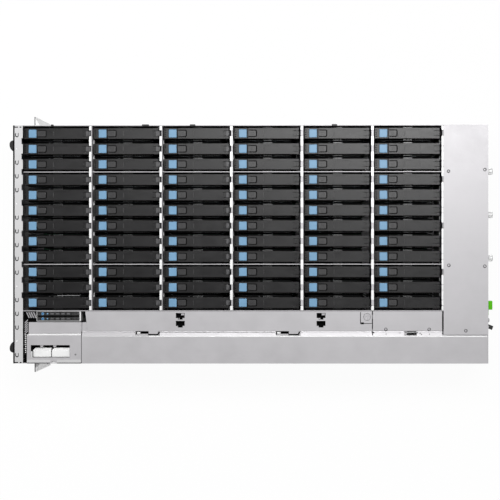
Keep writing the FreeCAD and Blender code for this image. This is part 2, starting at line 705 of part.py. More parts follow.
def make_lid_lock():
    """Turn lock of the sliding lid: a slotted barrel with a cam below the lid."""
    body = new_body("lid_lock")
    add(body, "XY_Plane", "channel_top - 5", "gauge + 6", circles=[("lock_x", "lock_y", "lock_radius")])
    cam = rectangle("lock_x - 5", "lock_y - 4", "lock_x + lock_cam", "lock_y + 4")
    add(body, "XY_Plane", "channel_top - 5", "2", [cam])
    coin_slot = rectangle("lock_x - 4.5", "lock_y - 0.8", "lock_x + 4.5", "lock_y + 0.8")
    cut(body, "XY_Plane", "channel_top + 0.9", "4", [coin_slot])
    return keep(body, "lid_lock")


def make_channel_rear_lid():
    """Fixed lid over the rear of the channel."""
    body = new_body("channel_rear_lid")
    plan = rectangle("rear_lid_front", "lid_edge + 0.6", "rear_lid_rear", "channel_y - gauge - 0.4")
    add(body, "XY_Plane", "channel_top + lid_gap", "gauge", [plan])
    return keep(body, "channel_rear_lid")


def make_front_corner_cover():
    """Cover over the channel's front corner, bent along its length, with the service window."""
    body = new_body("front_corner_cover")
    top = "body_height"
    low = "channel_top + lid_gap + gauge"
    side = "-body_width / 2"
    bend = "step_high + 0.6"
    fold = [
        (side, f"{top} - gauge"), (f"{bend} - 0.3", f"{top} - gauge"), ("lid_edge", f"{low} - gauge"),
        ("corner_left", f"{low} - gauge"), ("corner_left", low), ("lid_edge", low), (bend, top), (side, top),
    ]
    add(body, "YZ_Plane", "corner_front", "corner_rear - corner_front", [fold])
    window = rectangle("window_front", "window_right", "window_rear", "window_left")
    cut(body, "XY_Plane", f"{top} - 5", "8", [window])
    thumb = ("-369.5", f"{side} - 1", "5.6")
    cut(body, "XY_Plane", f"{top} - 5", "8", circles=[thumb])
    return keep(body, "front_corner_cover")


def make_service_blocks():
    """Two white blocks side by side in the service window, each with one cut corner."""
    body = new_body("service_blocks")
    body.AllowCompound = True
    right = "block_left - block_width"
    outlines = []
    for index in range(2):
        start = f"block_front + {index} * block_pitch"
        outlines.append([
            (start, right), (f"{start} + block_length", right), (f"{start} + block_length", "block_left"),
            (f"{start} + block_chamfer", "block_left"), (start, "block_left - block_chamfer"),
        ])
    add(body, "XY_Plane", "block_top - block_height", "block_height", outlines)
    return keep(body, "service_blocks")


def make_ssd_cage():
    """Open-topped cage that takes the two solid-state drive sleds."""
    body = new_body("ssd_cage")
    play = 0.3
    front = f"sled_front - {play}"
    rear = f"sled_front + sled_length + {play}"
    left = f"sled_first + sled_width / 2 + {play}"
    right = f"sled_first - sled_pitch - sled_width / 2 - {play}"
    floor = "sled_top - sled_height - cage_wall"
    outside = rectangle(
        f"{front} - cage_wall", f"{right} - cage_wall", f"{rear} + 2.4", f"{left} + cage_wall",
    )
    add(body, "XY_Plane", f"{floor} - cage_wall", "sled_height + cage_wall", [outside])
    inside = rectangle(front, right, rear, left)
    cut(body, "XY_Plane", floor, "sled_height + 10", [inside])
    return keep(body, "ssd_cage")


def make_ssd_sled(index):
    """Sled of one solid-state drive: button well and a row of air cells in its top."""
    body = new_body(f"ssd_sled_{index + 1}")
    half = "sled_width / 2"
    outline = rectangle("sled_front", f"-{half}", "sled_front + sled_length", half)
    add(body, "XY_Plane", "sled_top - sled_height", "sled_height", [outline])
    well = ("sled_front + sled_button_x", "0", "sled_button_radius + 0.25")
    cut(body, "XY_Plane", "sled_top - 5", "6", circles=[well])
    air_cell = rectangle("sled_front + 24", "-2.2", "sled_front + 31.5", "2.2")
    cells = cut(body, "XY_Plane", "sled_top - 1.5", "3", [air_cell])
    repeat(body, cells, "X_Axis", "10", "5")
    place(body, y=f"sled_first - {index} * sled_pitch")
    return keep(body, f"ssd_sled_{index + 1}")


def make_ssd_release(index):
    """Round release button of one sled."""
    body = new_body(f"ssd_release_{index + 1}")
    face = ("sled_front + sled_button_x", "0", "sled_button_radius")
    add(body, "XY_Plane", "sled_top - 3.2", "3.5", circles=[face])
    place(body, y=f"sled_first - {index} * sled_pitch")
    return keep(body, f"ssd_release_{index + 1}")


def make_rear_cover():
    """Top cover over the fans, its front edge bent down."""
    body = new_body("rear_cover")
    top = "body_height"
    fold = [
        ("cover_front", f"{top} - cover_bend"), ("cover_front + gauge", f"{top} - cover_bend"),
        ("cover_front + gauge", f"{top} - gauge"), ("body_length / 2", f"{top} - gauge"),
        ("body_length / 2", top), ("cover_front", top),
    ]
    add(body, "XZ_Plane", "cover_right", "body_width / 2 - cover_right", [fold])
    ends = [
        rectangle("cover_front - 1", "body_width / 2 - gauge - 0.3", "cover_front + 2", "body_width"),
        rectangle("cover_front - 1", "cover_right - 1", "cover_front + 2", "lip_edge + 1"),
    ]
    cut(body, "XY_Plane", f"{top} - cover_bend - 1", "cover_bend + 1 - gauge", ends)
    return keep(body, "rear_cover")


def make_rear_panel():
    """Rear sheet with openings for fans, ports and power supplies, and air slots below."""
    body = new_body("rear_panel")
    inner = "body_length / 2 - gauge"
    outline = rectangle("-body_width / 2", "0", "body_width / 2", "body_height - gauge")
    add(body, "YZ_Plane", inner, "gauge", [outline])
    last_fan = f"(fan_first - {FANS - 1} * fan_pitch)"
    fan_bank = rectangle(
        f"{last_fan} - fan_width / 2 - fan_play", "fan_axis_z - fan_height / 2 - fan_play",
        "fan_first + fan_width / 2 + fan_play", "fan_axis_z + fan_height / 2 + fan_play",
    )
    port_bay = rectangle(
        "io_left - io_width - 0.5", "io_bottom - 0.5", "io_left + 0.5", "io_bottom + io_height + 0.5",
    )
    power_bay = rectangle(
        "power_box_left - power_box_width - 0.5", "power_box_low - 0.5",
        "power_box_left + 0.5", "power_box_low + power_box_pitch + power_box_height + 0.5",
    )
    cut(body, "YZ_Plane", f"{inner} - 1", "gauge + 2", [fan_bank, port_bay, power_bay])
    window = rectangle("-104", "12", "rear_vent_width - 104", "12 + vent_height")
    vents = cut(body, "YZ_Plane", f"{inner} - 1", "gauge + 2", [window])
    repeat(body, vents, "Y_Axis", "rear_vent_pitch", "rear_vent_count")
    return keep(body, "rear_panel")


def make_fan_module(index):
    """Slide-out fan: square housing with a round bore, cross guard, motor seat and thumbscrew."""
    body = new_body(f"fan_housing_{index + 1}")
    half = "fan_width / 2"
    tall = "fan_height / 2"
    rear = "body_length / 2 + 0.2"
    housing = rectangle(f"-{half}", f"-{tall}", half, tall)
    add(body, "YZ_Plane", "fan_front", f"{rear} - fan_front", [housing])
    plate = rectangle(
        f"-{half} - face_overlap", f"-{tall} - face_overlap",
        f"{half} + face_overlap", f"{tall} + face_overlap",
    )
    add(body, "YZ_Plane", rear, "gauge", [plate])
    cut(body, "YZ_Plane", "fan_front - 1", "body_length", circles=[("0", "0", "fan_bore_radius")])
    reach = "fan_bore_radius + 0.5"
    add(body, "YZ_Plane", rear, "gauge", [rectangle(f"-({reach})", "-1.5", reach, "1.5")])
    add(body, "YZ_Plane", rear, "gauge", [rectangle("-1.5", f"-({reach})", "1.5", reach)])
    motor_seat = rectangle("-hub_radius", "-hub_radius", "hub_radius", "hub_radius")
    add(body, "YZ_Plane", f"{rear} - 9", "gauge + 9", [motor_seat])
    screw = new_body(f"fan_thumbscrew_{index + 1}")
    knob = ("thumb_y", "thumb_z", "thumb_radius")
    add(screw, "YZ_Plane", f"{rear} + gauge", "thumb_length", circles=[knob])
    for piece in (body, screw):
        place(piece, y=f"fan_first - {index} * fan_pitch", z="fan_axis_z")
    doc.recompute()
    return group(f"fan_module_{index + 1}", [body.Shape, screw.Shape])


def make_fan_rotor(index):
    """Rotor: many-sided hub with lofted blades that widen and run ahead towards their tips."""
    body = new_body(f"fan_rotor_{index + 1}")
    flats = 2 * int(size("blade_count"))
    corners = [2 * math.pi * (flat + 0.5) / flats for flat in range(flats)]
    hub = [(f"{math.cos(turn):.5f} * hub_radius", f"{math.sin(turn):.5f} * hub_radius") for turn in corners]
    add(body, "YZ_Plane", "rotor_front", "rotor_length", [hub])
    middle = "(rotor_front + rotor_length / 2)"
    sections = []
    root = ("hub_radius - 2", "blade_root", "0")
    tip = ("blade_reach", "blade_tip", "blade_skew")
    for radius, chord, skew in (root, tip):
        along = f"0.55 * {chord} / 2"
        across = f"0.835 * {chord} / 2"
        edge = "blade_gauge / 2"
        section = [
            (f"{middle} - {along}", f"{skew} - {across} - {edge}"),
            (f"{middle} + {along}", f"{skew} + {across} - {edge}"),
            (f"{middle} + {along}", f"{skew} + {across} + {edge}"),
            (f"{middle} - {along}", f"{skew} - {across} + {edge}"),
        ]
        sections.append(draw(body, "XY_Plane", radius, [section]))
    blade = body.newObject("PartDesign::AdditiveLoft", body.Name + "_blade")
    blade.Profile = sections[0]
    blade.Sections = [sections[1]]
    blade.Ruled = True
    doc.recompute()
    blades = body.newObject("PartDesign::PolarPattern", body.Name + "_blades")
    blades.Originals = [blade]
    blades.Axis = (origin_part(body, "X_Axis"), [""])
    blades.Angle = 360
    blades.setExpression("Occurrences", cell("blade_count"))
    body.Tip = blades
    place(body, y=f"fan_first - {index} * fan_pitch", z="fan_axis_z")
    return keep(body, f"fan_rotor_{index + 1}")


def make_power_supply(index):
    """Slide-out power supply: inlet socket and a tilted pull bar on its rear face."""
    body = new_body(f"power_supply_{index + 1}")
    right = "power_box_left - power_box_width"
    case = rectangle(right, "0", "power_box_left", "power_box_height")
    add(body, "YZ_Plane", "power_box_face - power_box_length", "power_box_length", [case])
    socket = rectangle(f"{right} + 10", "8", f"{right} + 30", "34")
    cut(body, "YZ_Plane", "power_box_face - 15", "16", [socket])
    bar_x = "power_box_face + 5.4"
    bar_y = f"{right} + 11.5"
    bar = [
        (f"{bar_x} - 4.6", f"{bar_y} - 2.1"), (f"{bar_x} + 2.1", f"{bar_y} - 4.6"),
        (f"{bar_x} + 4.6", f"{bar_y} + 2.1"), (f"{bar_x} - 2.1", f"{bar_y} + 4.6"),
    ]
    add(body, "XY_Plane", "38", "36", [bar])
    stand = rectangle("power_box_face - 1", f"{bar_y} - 2", bar_x, f"{bar_y} + 2")
    for low in ("38", "69"):
        add(body, "XY_Plane", low, "5", [stand])
    place(body, z=f"power_box_low + {index} * power_box_pitch")
    return keep(body, f"power_supply_{index + 1}")


def make_power_latch(index):
    """Green thumb latch of one power supply, reaching past its left side."""
    body = new_body(f"power_latch_{index + 1}")
    face = "power_box_face + 0.4"
    plan = [
        (face, "-134"), (f"{face} + 2", "-134"), (f"{face} + 2", "-123.3"), (f"{face} + 8", "-123.3"),
        (f"{face} + 8", "-106.8"), (face, "-106.8"),
    ]
    add(body, "XY_Plane", "60", "14", [plan])
    place(body, z=f"power_box_low + {index} * power_box_pitch")
    return keep(body, f"power_latch_{index + 1}")


def make_rear_port_module():
    """Port module beside the fans: a box with network and expansion ports in its rear face."""
    body = new_body("rear_port_module")
    right = "io_left - io_width"
    case = rectangle(right, "io_bottom", "io_left", "io_bottom + io_height")
    add(body, "YZ_Plane", "fan_front", "body_length / 2 + 0.6 - fan_front", [case])
    ports = [rectangle(f"{right} + 8 + {step}", "io_bottom + 10", f"{right} + 22 + {step}", "io_bottom + 24")
             for step in (0, 17)]
    ports += [rectangle(f"{right} + 8 + {step}", "io_bottom + 40", f"{right} + 26 + {step}", "io_bottom + 50")
              for step in (0, 21, 42)]
    cut(body, "YZ_Plane", "body_length / 2 - 11", "13", ports)
    return keep(body, "rear_port_module")


def make_mainboard():
    """Main board standing along the right side wall."""
    body = new_body("mainboard")
    outline = rectangle("main_front", "main_bottom", "main_rear", "main_top")
    add(body, "XZ_Plane", "main_y", "board_gauge", [outline])
    return keep(body, "mainboard")


def make_heat_sinks():
    """Two finned processor coolers on the main board."""
    body = new_body("heat_sinks")
    body.AllowCompound = True
    foot = "main_y + board_gauge"
    low = "(main_bottom + main_top - sink_side) / 2"
    fins = [
        ("sink_first", foot), ("sink_first + sink_side", foot),
        ("sink_first + sink_side", f"{foot} + sink_base"),
    ]
    for fin in range(10, -1, -1):
        start = f"sink_first + {fin} * (sink_side - fin_gauge) / 10"
        tip = f"{foot} + sink_depth"
        base = f"{foot} + sink_base"
        fins += [(f"{start} + fin_gauge", base)] if fin < 10 else []
        fins += [(f"{start} + fin_gauge", tip), (start, tip)]
        fins += [(start, base)] if fin > 0 else []
    cooler = add(body, "XY_Plane", low, "sink_side", [fins])
    repeat(body, cooler, "X_Axis", "sink_pitch", "2")
    return keep(body, "heat_sinks")


def check_document():
    """Stop if any feature failed or any sub-part has no sound shape."""
    for item in doc.Objects:
        if "Invalid" in item.State or "Error" in item.State:
            raise RuntimeError(f"{item.Label} failed: {item.State}")
    for piece in NODES:
        shape = piece.Shape
        if shape.isNull() or not shape.isValid() or not shape.Solids:
            raise RuntimeError(f"{piece.Label} has no sound solid")


def main():
    """Build every sub-part, check the document and write one file per sub-part."""
    make_base_pan()
    make_front_panel()
    make_rack_ear()
    make_front_handles()
    make_power_button()
    make_drive_field()
    make_channel_wall()
    make_side_duct_cover()
    make_channel_lid()
    make_lid_lock()
    make_channel_rear_lid()
    make_front_corner_cover()
    make_service_blocks()
    make_ssd_cage()
    for index in range(2):
        make_ssd_sled(index)
        make_ssd_release(index)
    make_rear_cover()
    make_rear_panel()
    for index in range(FANS):
        make_fan_module(index)
        make_fan_rotor(index)
    for index in range(2):
        make_power_supply(index)
        make_power_latch(index)
    make_rear_port_module()
    make_mainboard()
    make_heat_sinks()
    doc.recompute()
    check_document()
    os.makedirs("parts", exist_ok=True)
    for piece in NODES:
        piece.Shape.exportStep(f"parts/{piece.Label}.step")
    print(len(NODES), "sub-parts")


main()
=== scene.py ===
"""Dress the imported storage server: finishes, carriers, screws, fans, light and camera."""

import logging
import math
from dataclasses import dataclass, field
from enum import Enum
from typing import Any, Callable, Iterable, Sequence

import bmesh
import bpy
from mathutils import Euler, Matrix, Vector


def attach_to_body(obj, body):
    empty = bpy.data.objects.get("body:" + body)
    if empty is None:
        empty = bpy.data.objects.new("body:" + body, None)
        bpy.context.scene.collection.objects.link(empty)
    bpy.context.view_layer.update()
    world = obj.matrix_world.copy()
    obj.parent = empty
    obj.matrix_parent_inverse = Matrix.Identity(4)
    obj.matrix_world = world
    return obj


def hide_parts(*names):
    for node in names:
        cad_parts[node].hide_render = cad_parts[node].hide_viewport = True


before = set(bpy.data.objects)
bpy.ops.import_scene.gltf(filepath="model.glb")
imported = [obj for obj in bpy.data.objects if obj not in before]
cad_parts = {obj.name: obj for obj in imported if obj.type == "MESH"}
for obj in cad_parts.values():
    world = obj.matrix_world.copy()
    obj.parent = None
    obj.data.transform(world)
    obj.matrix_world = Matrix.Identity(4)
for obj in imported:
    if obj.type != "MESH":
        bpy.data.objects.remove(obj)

LOG = logging.getLogger("storage_server")
MM = 0.001
SHARP = math.radians(30.0)  # edges that bend more than this are bevelled
SMOOTH = 40.0  # edges that bend less than this many degrees are shaded smooth
Outline = list[tuple[float, float]]
Colour = tuple[float, float, float]


class Axis(Enum):
    """The direction a prism or a turned shape runs along."""

    X = "x"
    Y = "y"
    Z = "z"

    def point(self, across: float, up: float, along: float) -> Vector:
        """Put a drawing's two coordinates and its depth into the part's frame."""
        if self is Axis.X:
            return Vector((along, across, up))
        if self is Axis.Y:
            return Vector((across, along, up))
        return Vector((across, up, along))


# ---- meshes -------------------------------------------------------------------------------------


def rounded(low_x: float, low_y: float, high_x: float, high_y: float, radius: float,
            steps: int = 4) -> Outline:
    """Draw a rectangle with rounded corners.

    Args:
        low_x, low_y, high_x, high_y: Its sides, in millimetres.
        radius: Corner radius.
        steps: Straight pieces in each corner.

    Returns:
        The outline, counter-clockwise.
    """
    corners = (
        (high_x - radius, high_y - radius, 0.0), (low_x + radius, high_y - radius, 90.0),
        (low_x + radius, low_y + radius, 180.0), (high_x - radius, low_y + radius, 270.0),
    )
    points: Outline = []
    for centre_x, centre_y, start in corners:
        for step in range(steps + 1):
            turn = math.radians(start + 90.0 * step / steps)
            points.append((centre_x + radius * math.cos(turn), centre_y + radius * math.sin(turn)))
    return points


def circle(centre_x: float, centre_y: float, radius: float, sides: int = 24) -> Outline:
    """Draw a circle as an even outline.

    Args:
        centre_x, centre_y: Its centre, in millimetres.
        radius: Its radius.
        sides: Straight pieces around.

    Returns:
        The outline, counter-clockwise.
    """
    turns = [2.0 * math.pi * side / sides for side in range(sides)]
    return [(centre_x + radius * math.cos(turn), centre_y + radius * math.sin(turn)) for turn in turns]


class Form:
    """A mesh under construction, in millimetres of the part's frame."""

    def __init__(self, smooth: float = SMOOTH) -> None:
        """Start with nothing; edges flatter than this many degrees will be shaded smooth."""
        self.net = bmesh.new()
        self.smooth = smooth

    def take(self, other: bmesh.types.BMesh) -> "Form":
        """Add another net's faces and free it."""
        scratch = bpy.data.meshes.new("scratch")
        other.to_mesh(scratch)
        other.free()
        self.net.from_mesh(scratch)
        bpy.data.meshes.remove(scratch)
        return self

    def prism(self, outline: Outline, low: float, high: float, axis: Axis = Axis.Z,
              bevel: float = 0.0, segments: int = 2) -> "Form":
        """Raise an outline into a closed prism.

        Args:
            outline: Its corners in the plane across the axis.
            low, high: Where it starts and ends along the axis.
            axis: The direction it runs along.
            bevel: Width of its rounded edges.
            segments: Faces across a rounded edge.

        Returns:
            This form.
        """
        net = bmesh.new()
        bottom = [net.verts.new(axis.point(across, up, low)) for across, up in outline]
        top = [net.verts.new(axis.point(across, up, high)) for across, up in outline]
        net.faces.new(bottom)
        net.faces.new(top)
        count = len(outline)
        for index in range(count):
            after = (index + 1) % count
            net.faces.new((bottom[index], bottom[after], top[after], top[index]))
        bmesh.ops.recalc_face_normals(net, faces=net.faces)
        if bevel > 0.0:
            sharp = [edge for edge in net.edges if edge.calc_face_angle(0.0) > SHARP]
            bmesh.ops.bevel(net, geom=sharp, offset=bevel, segments=segments, profile=0.5,
                            affect="EDGES", clamp_overlap=True)
        return self.take(net)

    def block(self, low: Sequence[float], high: Sequence[float], bevel: float, segments: int = 2) -> "Form":
        """Add a box with rounded edges.

        Args:
            low, high: Its two opposite corners.
            bevel: Width of its rounded edges.
            segments: Faces across a rounded edge.

        Returns:
            This form.
        """
        plan = [(low[0], low[1]), (high[0], low[1]), (high[0], high[1]), (low[0], high[1])]
        return self.prism(plan, low[2], high[2], Axis.Z, bevel, segments)

    def blocks(self, bevel: float, *boxes: Sequence[float]) -> "Form":
        """Add several boxes, each given as its low and its high corner in one row of six."""
        for box in boxes:
            self.block(box[:3], box[3:], bevel)
        return self

    def turned(self, profile: Outline, centre: tuple[float, float], axis: Axis, sides: int = 32) -> "Form":
        """Turn a profile about an axis.

        Args:
            profile: (distance along the axis, radius) from one end to the other.
            centre: The axis's place in the plane across it.
            axis: The direction of the axis.
            sides: Faces around.

        Returns:
            This form.
        """
        net = bmesh.new()
        rings = []
        for along, radius in profile:
            if radius < 1e-6:
                rings.append([net.verts.new(axis.point(centre[0], centre[1], along))])
                continue
            rings.append([net.verts.new(axis.point(x, y, along)) for x, y in circle(*centre, radius, sides)])
        for first, second in zip(rings, rings[1:]):
            for side in range(sides):
                after = (side + 1) % sides
                corners = {id(vert): vert for vert in (
                    first[side % len(first)], first[after % len(first)],
                    second[after % len(second)], second[side % len(second)],
                )}
                if len(corners) > 2:
                    net.faces.new(corners.values())
        for ring in (rings[0], rings[-1]):
            if len(ring) > 2:
                net.faces.new(ring)
        bmesh.ops.recalc_face_normals(net, faces=net.faces)
        return self.take(net)

    def hoop(self, centre: tuple[float, float], along: float, radius: float, wire: float, axis: Axis,
             sides: int = 40) -> "Form":
        """Add a ring of round wire about an axis.

        Args:
            centre: The axis's place in the plane across it.
            along: The ring's place along the axis.
            radius: The ring's radius.
            wire: The wire's radius.
            axis: The direction of the axis.
            sides: Faces around.

        Returns:
            This form.
        """
        net = bmesh.new()
        bands = []
        for turn in (2.0 * math.pi * side / sides for side in range(sides)):
            band = []
            for bend in (2.0 * math.pi * step / 8 for step in range(8)):
                reach = radius + wire * math.cos(bend)
                place = axis.point(centre[0] + reach * math.cos(turn), centre[1] + reach * math.sin(turn),
                                   along + wire * math.sin(bend))
                band.append(net.verts.new(place))
            bands.append(band)
        for side in range(sides):
            first, second = bands[side], bands[(side + 1) % sides]
            for step in range(8):
                net.faces.new((first[step], first[(step + 1) % 8], second[(step + 1) % 8], second[step]))
        bmesh.ops.recalc_face_normals(net, faces=net.faces)
        return self.take(net)

    def mesh(self, name: str) -> bpy.types.Mesh:
        """Turn the form into a finished mesh in metres."""
        result = bpy.data.meshes.new(name)
        self.net.to_mesh(result)
        self.net.free()
        result.transform(Matrix.Scale(MM, 4))
        settle(result, self.smooth)
        return result


Shape = Form | bpy.types.Mesh


def settle(mesh: bpy.types.Mesh, smooth: float = SMOOTH) -> None:
    """Shade curved faces smooth, and keep flat those that only small bevels run along.

    Args:
        mesh: The mesh to shade.
        smooth: Edges flatter than this many degrees are shaded smooth.
    """
    net = bmesh.new()
    net.from_mesh(mesh)
    areas = {face: face.calc_area() for face in net.faces}
    for edge in net.edges:
        turn = math.degrees(edge.calc_face_angle(math.pi))
        edge.smooth = turn < smooth
        edge.tag = 1.0 < turn < smooth
    for face in net.faces:
        bent = [edge for edge in face.edges if edge.tag]
        beside = [areas[other] for edge in bent for other in edge.link_faces if other is not face]
        # A face square to an axis stays flat unless a bent neighbour is nearly as large as itself.
        square_on = max(abs(part) for part in face.normal) > 0.9999
        share = 0.8 if square_on else 0.2
        face.smooth = any(area > share * areas[face] for area in beside)
    net.to_mesh(mesh)
    net.free()


def evaluated(obj: bpy.types.Object, name: str) -> bpy.types.Mesh:
    """Return an object's mesh with its modifiers carried out."""
    graph = bpy.context.evaluated_depsgraph_get()
    result = bpy.data.meshes.new_from_object(obj.evaluated_get(graph), depsgraph=graph)
    result.name = name
    return result


def link(name: str, mesh: bpy.types.Mesh) -> bpy.types.Object:
    """Put a mesh into the scene as an object at the origin."""
    obj = bpy.data.objects.new(name, mesh)
    bpy.context.scene.collection.objects.link(obj)
    return obj


def carved(body: Form, tool: Form, name: str, bevel: float = 0.0) -> bpy.types.Mesh:
    """Cut one form out of another.

    Args:
        body: The form that stays.
        tool: The form that is taken away.
        name: The new mesh's name.
        bevel: Rounding of the edges after the cut, in millimetres.

    Returns:
        The finished mesh.
    """
    kept = link(name, body.mesh(name))
    cutter = link(name + "_cutter", tool.mesh(name + "_cutter"))
    cut = kept.modifiers.new("cut", "BOOLEAN")
    cut.operation = "DIFFERENCE"
    cut.solver = "EXACT"
    cut.use_self = True
    cut.object = cutter
    if bevel > 0.0:
        ease = kept.modifiers.new("ease", "BEVEL")
        ease.width = bevel * MM
        ease.segments = 2
        ease.limit_method = "ANGLE"
        ease.angle_limit = math.radians(SMOOTH)
    result = evaluated(kept, name)
    settle(result)
    for scratch in (kept, cutter):
        bpy.data.objects.remove(scratch)
    return result


# ---- shaders ------------------------------------------------------------------------------------


def wired(tree: bpy.types.NodeTree, kind: str, settings: dict[str, Any] | None,
          inputs: dict[Any, Any] | None) -> bpy.types.Node:
    """Add a node to a tree.

    Args:
        tree: The tree.
        kind: The node's type.
        settings: Its own properties, set first.
        inputs: Values or output sockets for its inputs, by name or number.

    Returns:
        The node.
    """
    made = tree.nodes.new(kind)
    for key, value in (settings or {}).items():
        setattr(made, key, value)
    for key, value in (inputs or {}).items():
        if isinstance(value, bpy.types.NodeSocket):
            tree.links.new(value, made.inputs[key])
        else:
            made.inputs[key].default_value = value
    return made


class Signal:
    """A socket of a shader tree that takes part in Python arithmetic."""

    def __init__(self, kit: "ShaderKit", socket: bpy.types.NodeSocket | None) -> None:
        """Wrap one output socket."""
        self.kit = kit
        self.socket = socket

    def _math(self, operation: str, first: Any, second: Any) -> "Signal":
        """Add one Math node."""
        return self.kit.node("ShaderNodeMath", {"operation": operation}, {0: first, 1: second})

    def __add__(self, other: Any) -> "Signal":
        """Sum."""
        return self._math("ADD", self, other)

    __radd__ = __add__

    def __mul__(self, other: Any) -> "Signal":
        """Product."""
        return self._math("MULTIPLY", self, other)

    __rmul__ = __mul__

    def __sub__(self, other: Any) -> "Signal":
        """Difference."""
        return self._math("SUBTRACT", self, other)

    def __rsub__(self, other: Any) -> "Signal":
        """Difference, the other way round."""
        return self._math("SUBTRACT", other, self)

    def over(self, limit: float) -> "Signal":
        """One where the value passes the limit, else nought."""
        return self._math("GREATER_THAN", self, limit)


class ShaderKit:
    """One material or world and the nodes that make it."""

    def __init__(self, owner: bpy.types.Material | bpy.types.World) -> None:
        """Start with an empty tree."""
        self.owner = owner
        owner.use_nodes = True
        self.tree = owner.node_tree
        self.tree.nodes.clear()

    @classmethod
    def material(cls, name: str) -> "ShaderKit":
        """Start a new material."""
        return cls(bpy.data.materials.new(name))

    def node(self, kind: str, settings: dict[str, Any] | None = None,
             inputs: dict[Any, Any] | None = None, output: Any = 0) -> Signal:
        """Add any node.

        Args:
            kind: The node's type.
            settings: Its own properties, set first.
            inputs: Values or signals for its sockets, by name or number.
            output: The output that is wanted.

        Returns:
            That output as a signal, or an empty signal for the tree's last node.
        """
        plain = {key: value.socket if isinstance(value, Signal) else value
                 for key, value in (inputs or {}).items()}
        made = wired(self.tree, kind, settings, plain)
        return Signal(self, made.outputs[output] if made.outputs else None)

    def place(self, stretch: Sequence[float] = (1.0, 1.0, 1.0)) -> Signal:
        """Object coordinates, stretched."""
        where = self.node("ShaderNodeTexCoord", output="Object")
        return self.node("ShaderNodeMapping", None, {"Vector": where, "Scale": stretch})

    def noise(self, where: Signal, scale: float, detail: float = 3.0, rough: float = 0.5) -> Signal:
        """Soft noise from nought to one.

        Args:
            where: The coordinates.
            scale: Cells per metre.
            detail: Finer layers.
            rough: How strongly the finer layers show.

        Returns:
            The noise.
        """
        return self.node("ShaderNodeTexNoise", None,
                         {"Vector": where, "Scale": scale, "Detail": detail, "Roughness": rough}, "Fac")

    def blend(self, factor: Any, first: Any, second: Any) -> Signal:
        """Mix two colours."""
        return self.node("ShaderNodeMix", {"data_type": "RGBA"}, {0: factor, 6: first, 7: second}, 2)

    def bump(self, height: Signal, strength: float, distance: float) -> Signal:
        """A normal that follows a height."""
        return self.node("ShaderNodeBump", None,
                         {"Height": height, "Strength": strength, "Distance": distance}, "Normal")

    def finish(self, **sockets: Any) -> bpy.types.Material:
        """Close the material with a Principled shader.

        Args:
            sockets: Socket names, with underscores for spaces, and their values or signals.

        Returns:
            The material.
        """
        named = {key.replace("_", " "): value for key, value in sockets.items()}
        shader = self.node("ShaderNodeBsdfPrincipled", None, named)
        self.node("ShaderNodeOutputMaterial", None, {"Surface": shader})
        return self.owner


def tinted(colour: Colour, gain: float) -> tuple[float, float, float, float]:
    """A colour made lighter or darker, with full alpha."""
    return (*(min(1.0, channel * gain) for channel in colour), 1.0)


@dataclass(frozen=True)
class SheetSteel:
    """Zinc-plated or stainless sheet: soft cloudy plating over a fine rolled grain."""

    name: str
    colour: Colour
    roughness: float = 0.40
    metallic: float = 0.85
    cloud: float = 0.05
    grain: float = 0.03

    def make(self) -> bpy.types.Material:
        """Build the material."""
        kit = ShaderKit.material(self.name)
        cloud = kit.noise(kit.place(), 26.0, 4.0, 0.62)
        speck = kit.noise(kit.place(), 420.0, 2.0, 0.6)
        rolled = kit.noise(kit.place((14.0, 700.0, 700.0)), 1.0, 2.0, 0.55)
        shade = (cloud - 0.5) * (self.cloud * 4.0) + (rolled - 0.5) * (self.grain * 3.0)
        shade = shade + (speck - 0.5) * self.grain
        colour = kit.blend(shade + 0.5, tinted(self.colour, 0.86), tinted(self.colour, 1.14))
        rough = (cloud - 0.5) * 0.16 + (speck - 0.5) * 0.10 + self.roughness
        normal = kit.bump(rolled + speck * 0.6, 0.05, 0.0004)
        return kit.finish(Base_Color=colour, Roughness=rough, Metallic=self.metallic, Normal=normal)


@dataclass(frozen=True)
class MouldedPlastic:
    """Injection-moulded plastic with a fine spark-eroded grain and faint handling marks."""

    name: str
    colour: Colour
    roughness: float = 0.48
    specular: float = 0.35
    grain: float = 0.08
    coat: float = 0.0

    def make(self) -> bpy.types.Material:
        """Build the material."""
        kit = ShaderKit.material(self.name)
        grain = kit.noise(kit.place(), 1500.0, 2.0, 0.6)
        haze = kit.noise(kit.place((1.0, 1.6, 1.0)), 38.0, 3.0, 0.6)
        colour = kit.blend((haze - 0.5) * 0.9 + 0.5, tinted(self.colour, 0.86), tinted(self.colour, 1.16))
        rough = (haze - 0.5) * 0.14 + (grain - 0.5) * 0.08 + self.roughness
        normal = kit.bump(grain, self.grain, 0.0003)
        return kit.finish(Base_Color=colour, Roughness=rough, Specular_IOR_Level=self.specular,
                          Coat_Weight=self.coat, Coat_Roughness=0.2, Normal=normal)


@dataclass(frozen=True)
class CastMetal:
    """Cast or extruded aluminium with a dull, slightly pitted skin."""

    name: str
    colour: Colour
    roughness: float = 0.5

    def make(self) -> bpy.types.Material:
        """Build the material."""
        kit = ShaderKit.material(self.name)
        skin = kit.noise(kit.place(), 240.0, 4.0, 0.65)
        stain = kit.noise(kit.place(), 22.0, 3.0, 0.6)
        colour = kit.blend(stain, tinted(self.colour, 0.88), tinted(self.colour, 1.1))
        normal = kit.bump(skin, 0.12, 0.0005)
        return kit.finish(Base_Color=colour, Roughness=(skin - 0.5) * 0.2 + self.roughness,
                          Metallic=0.9, Normal=normal)


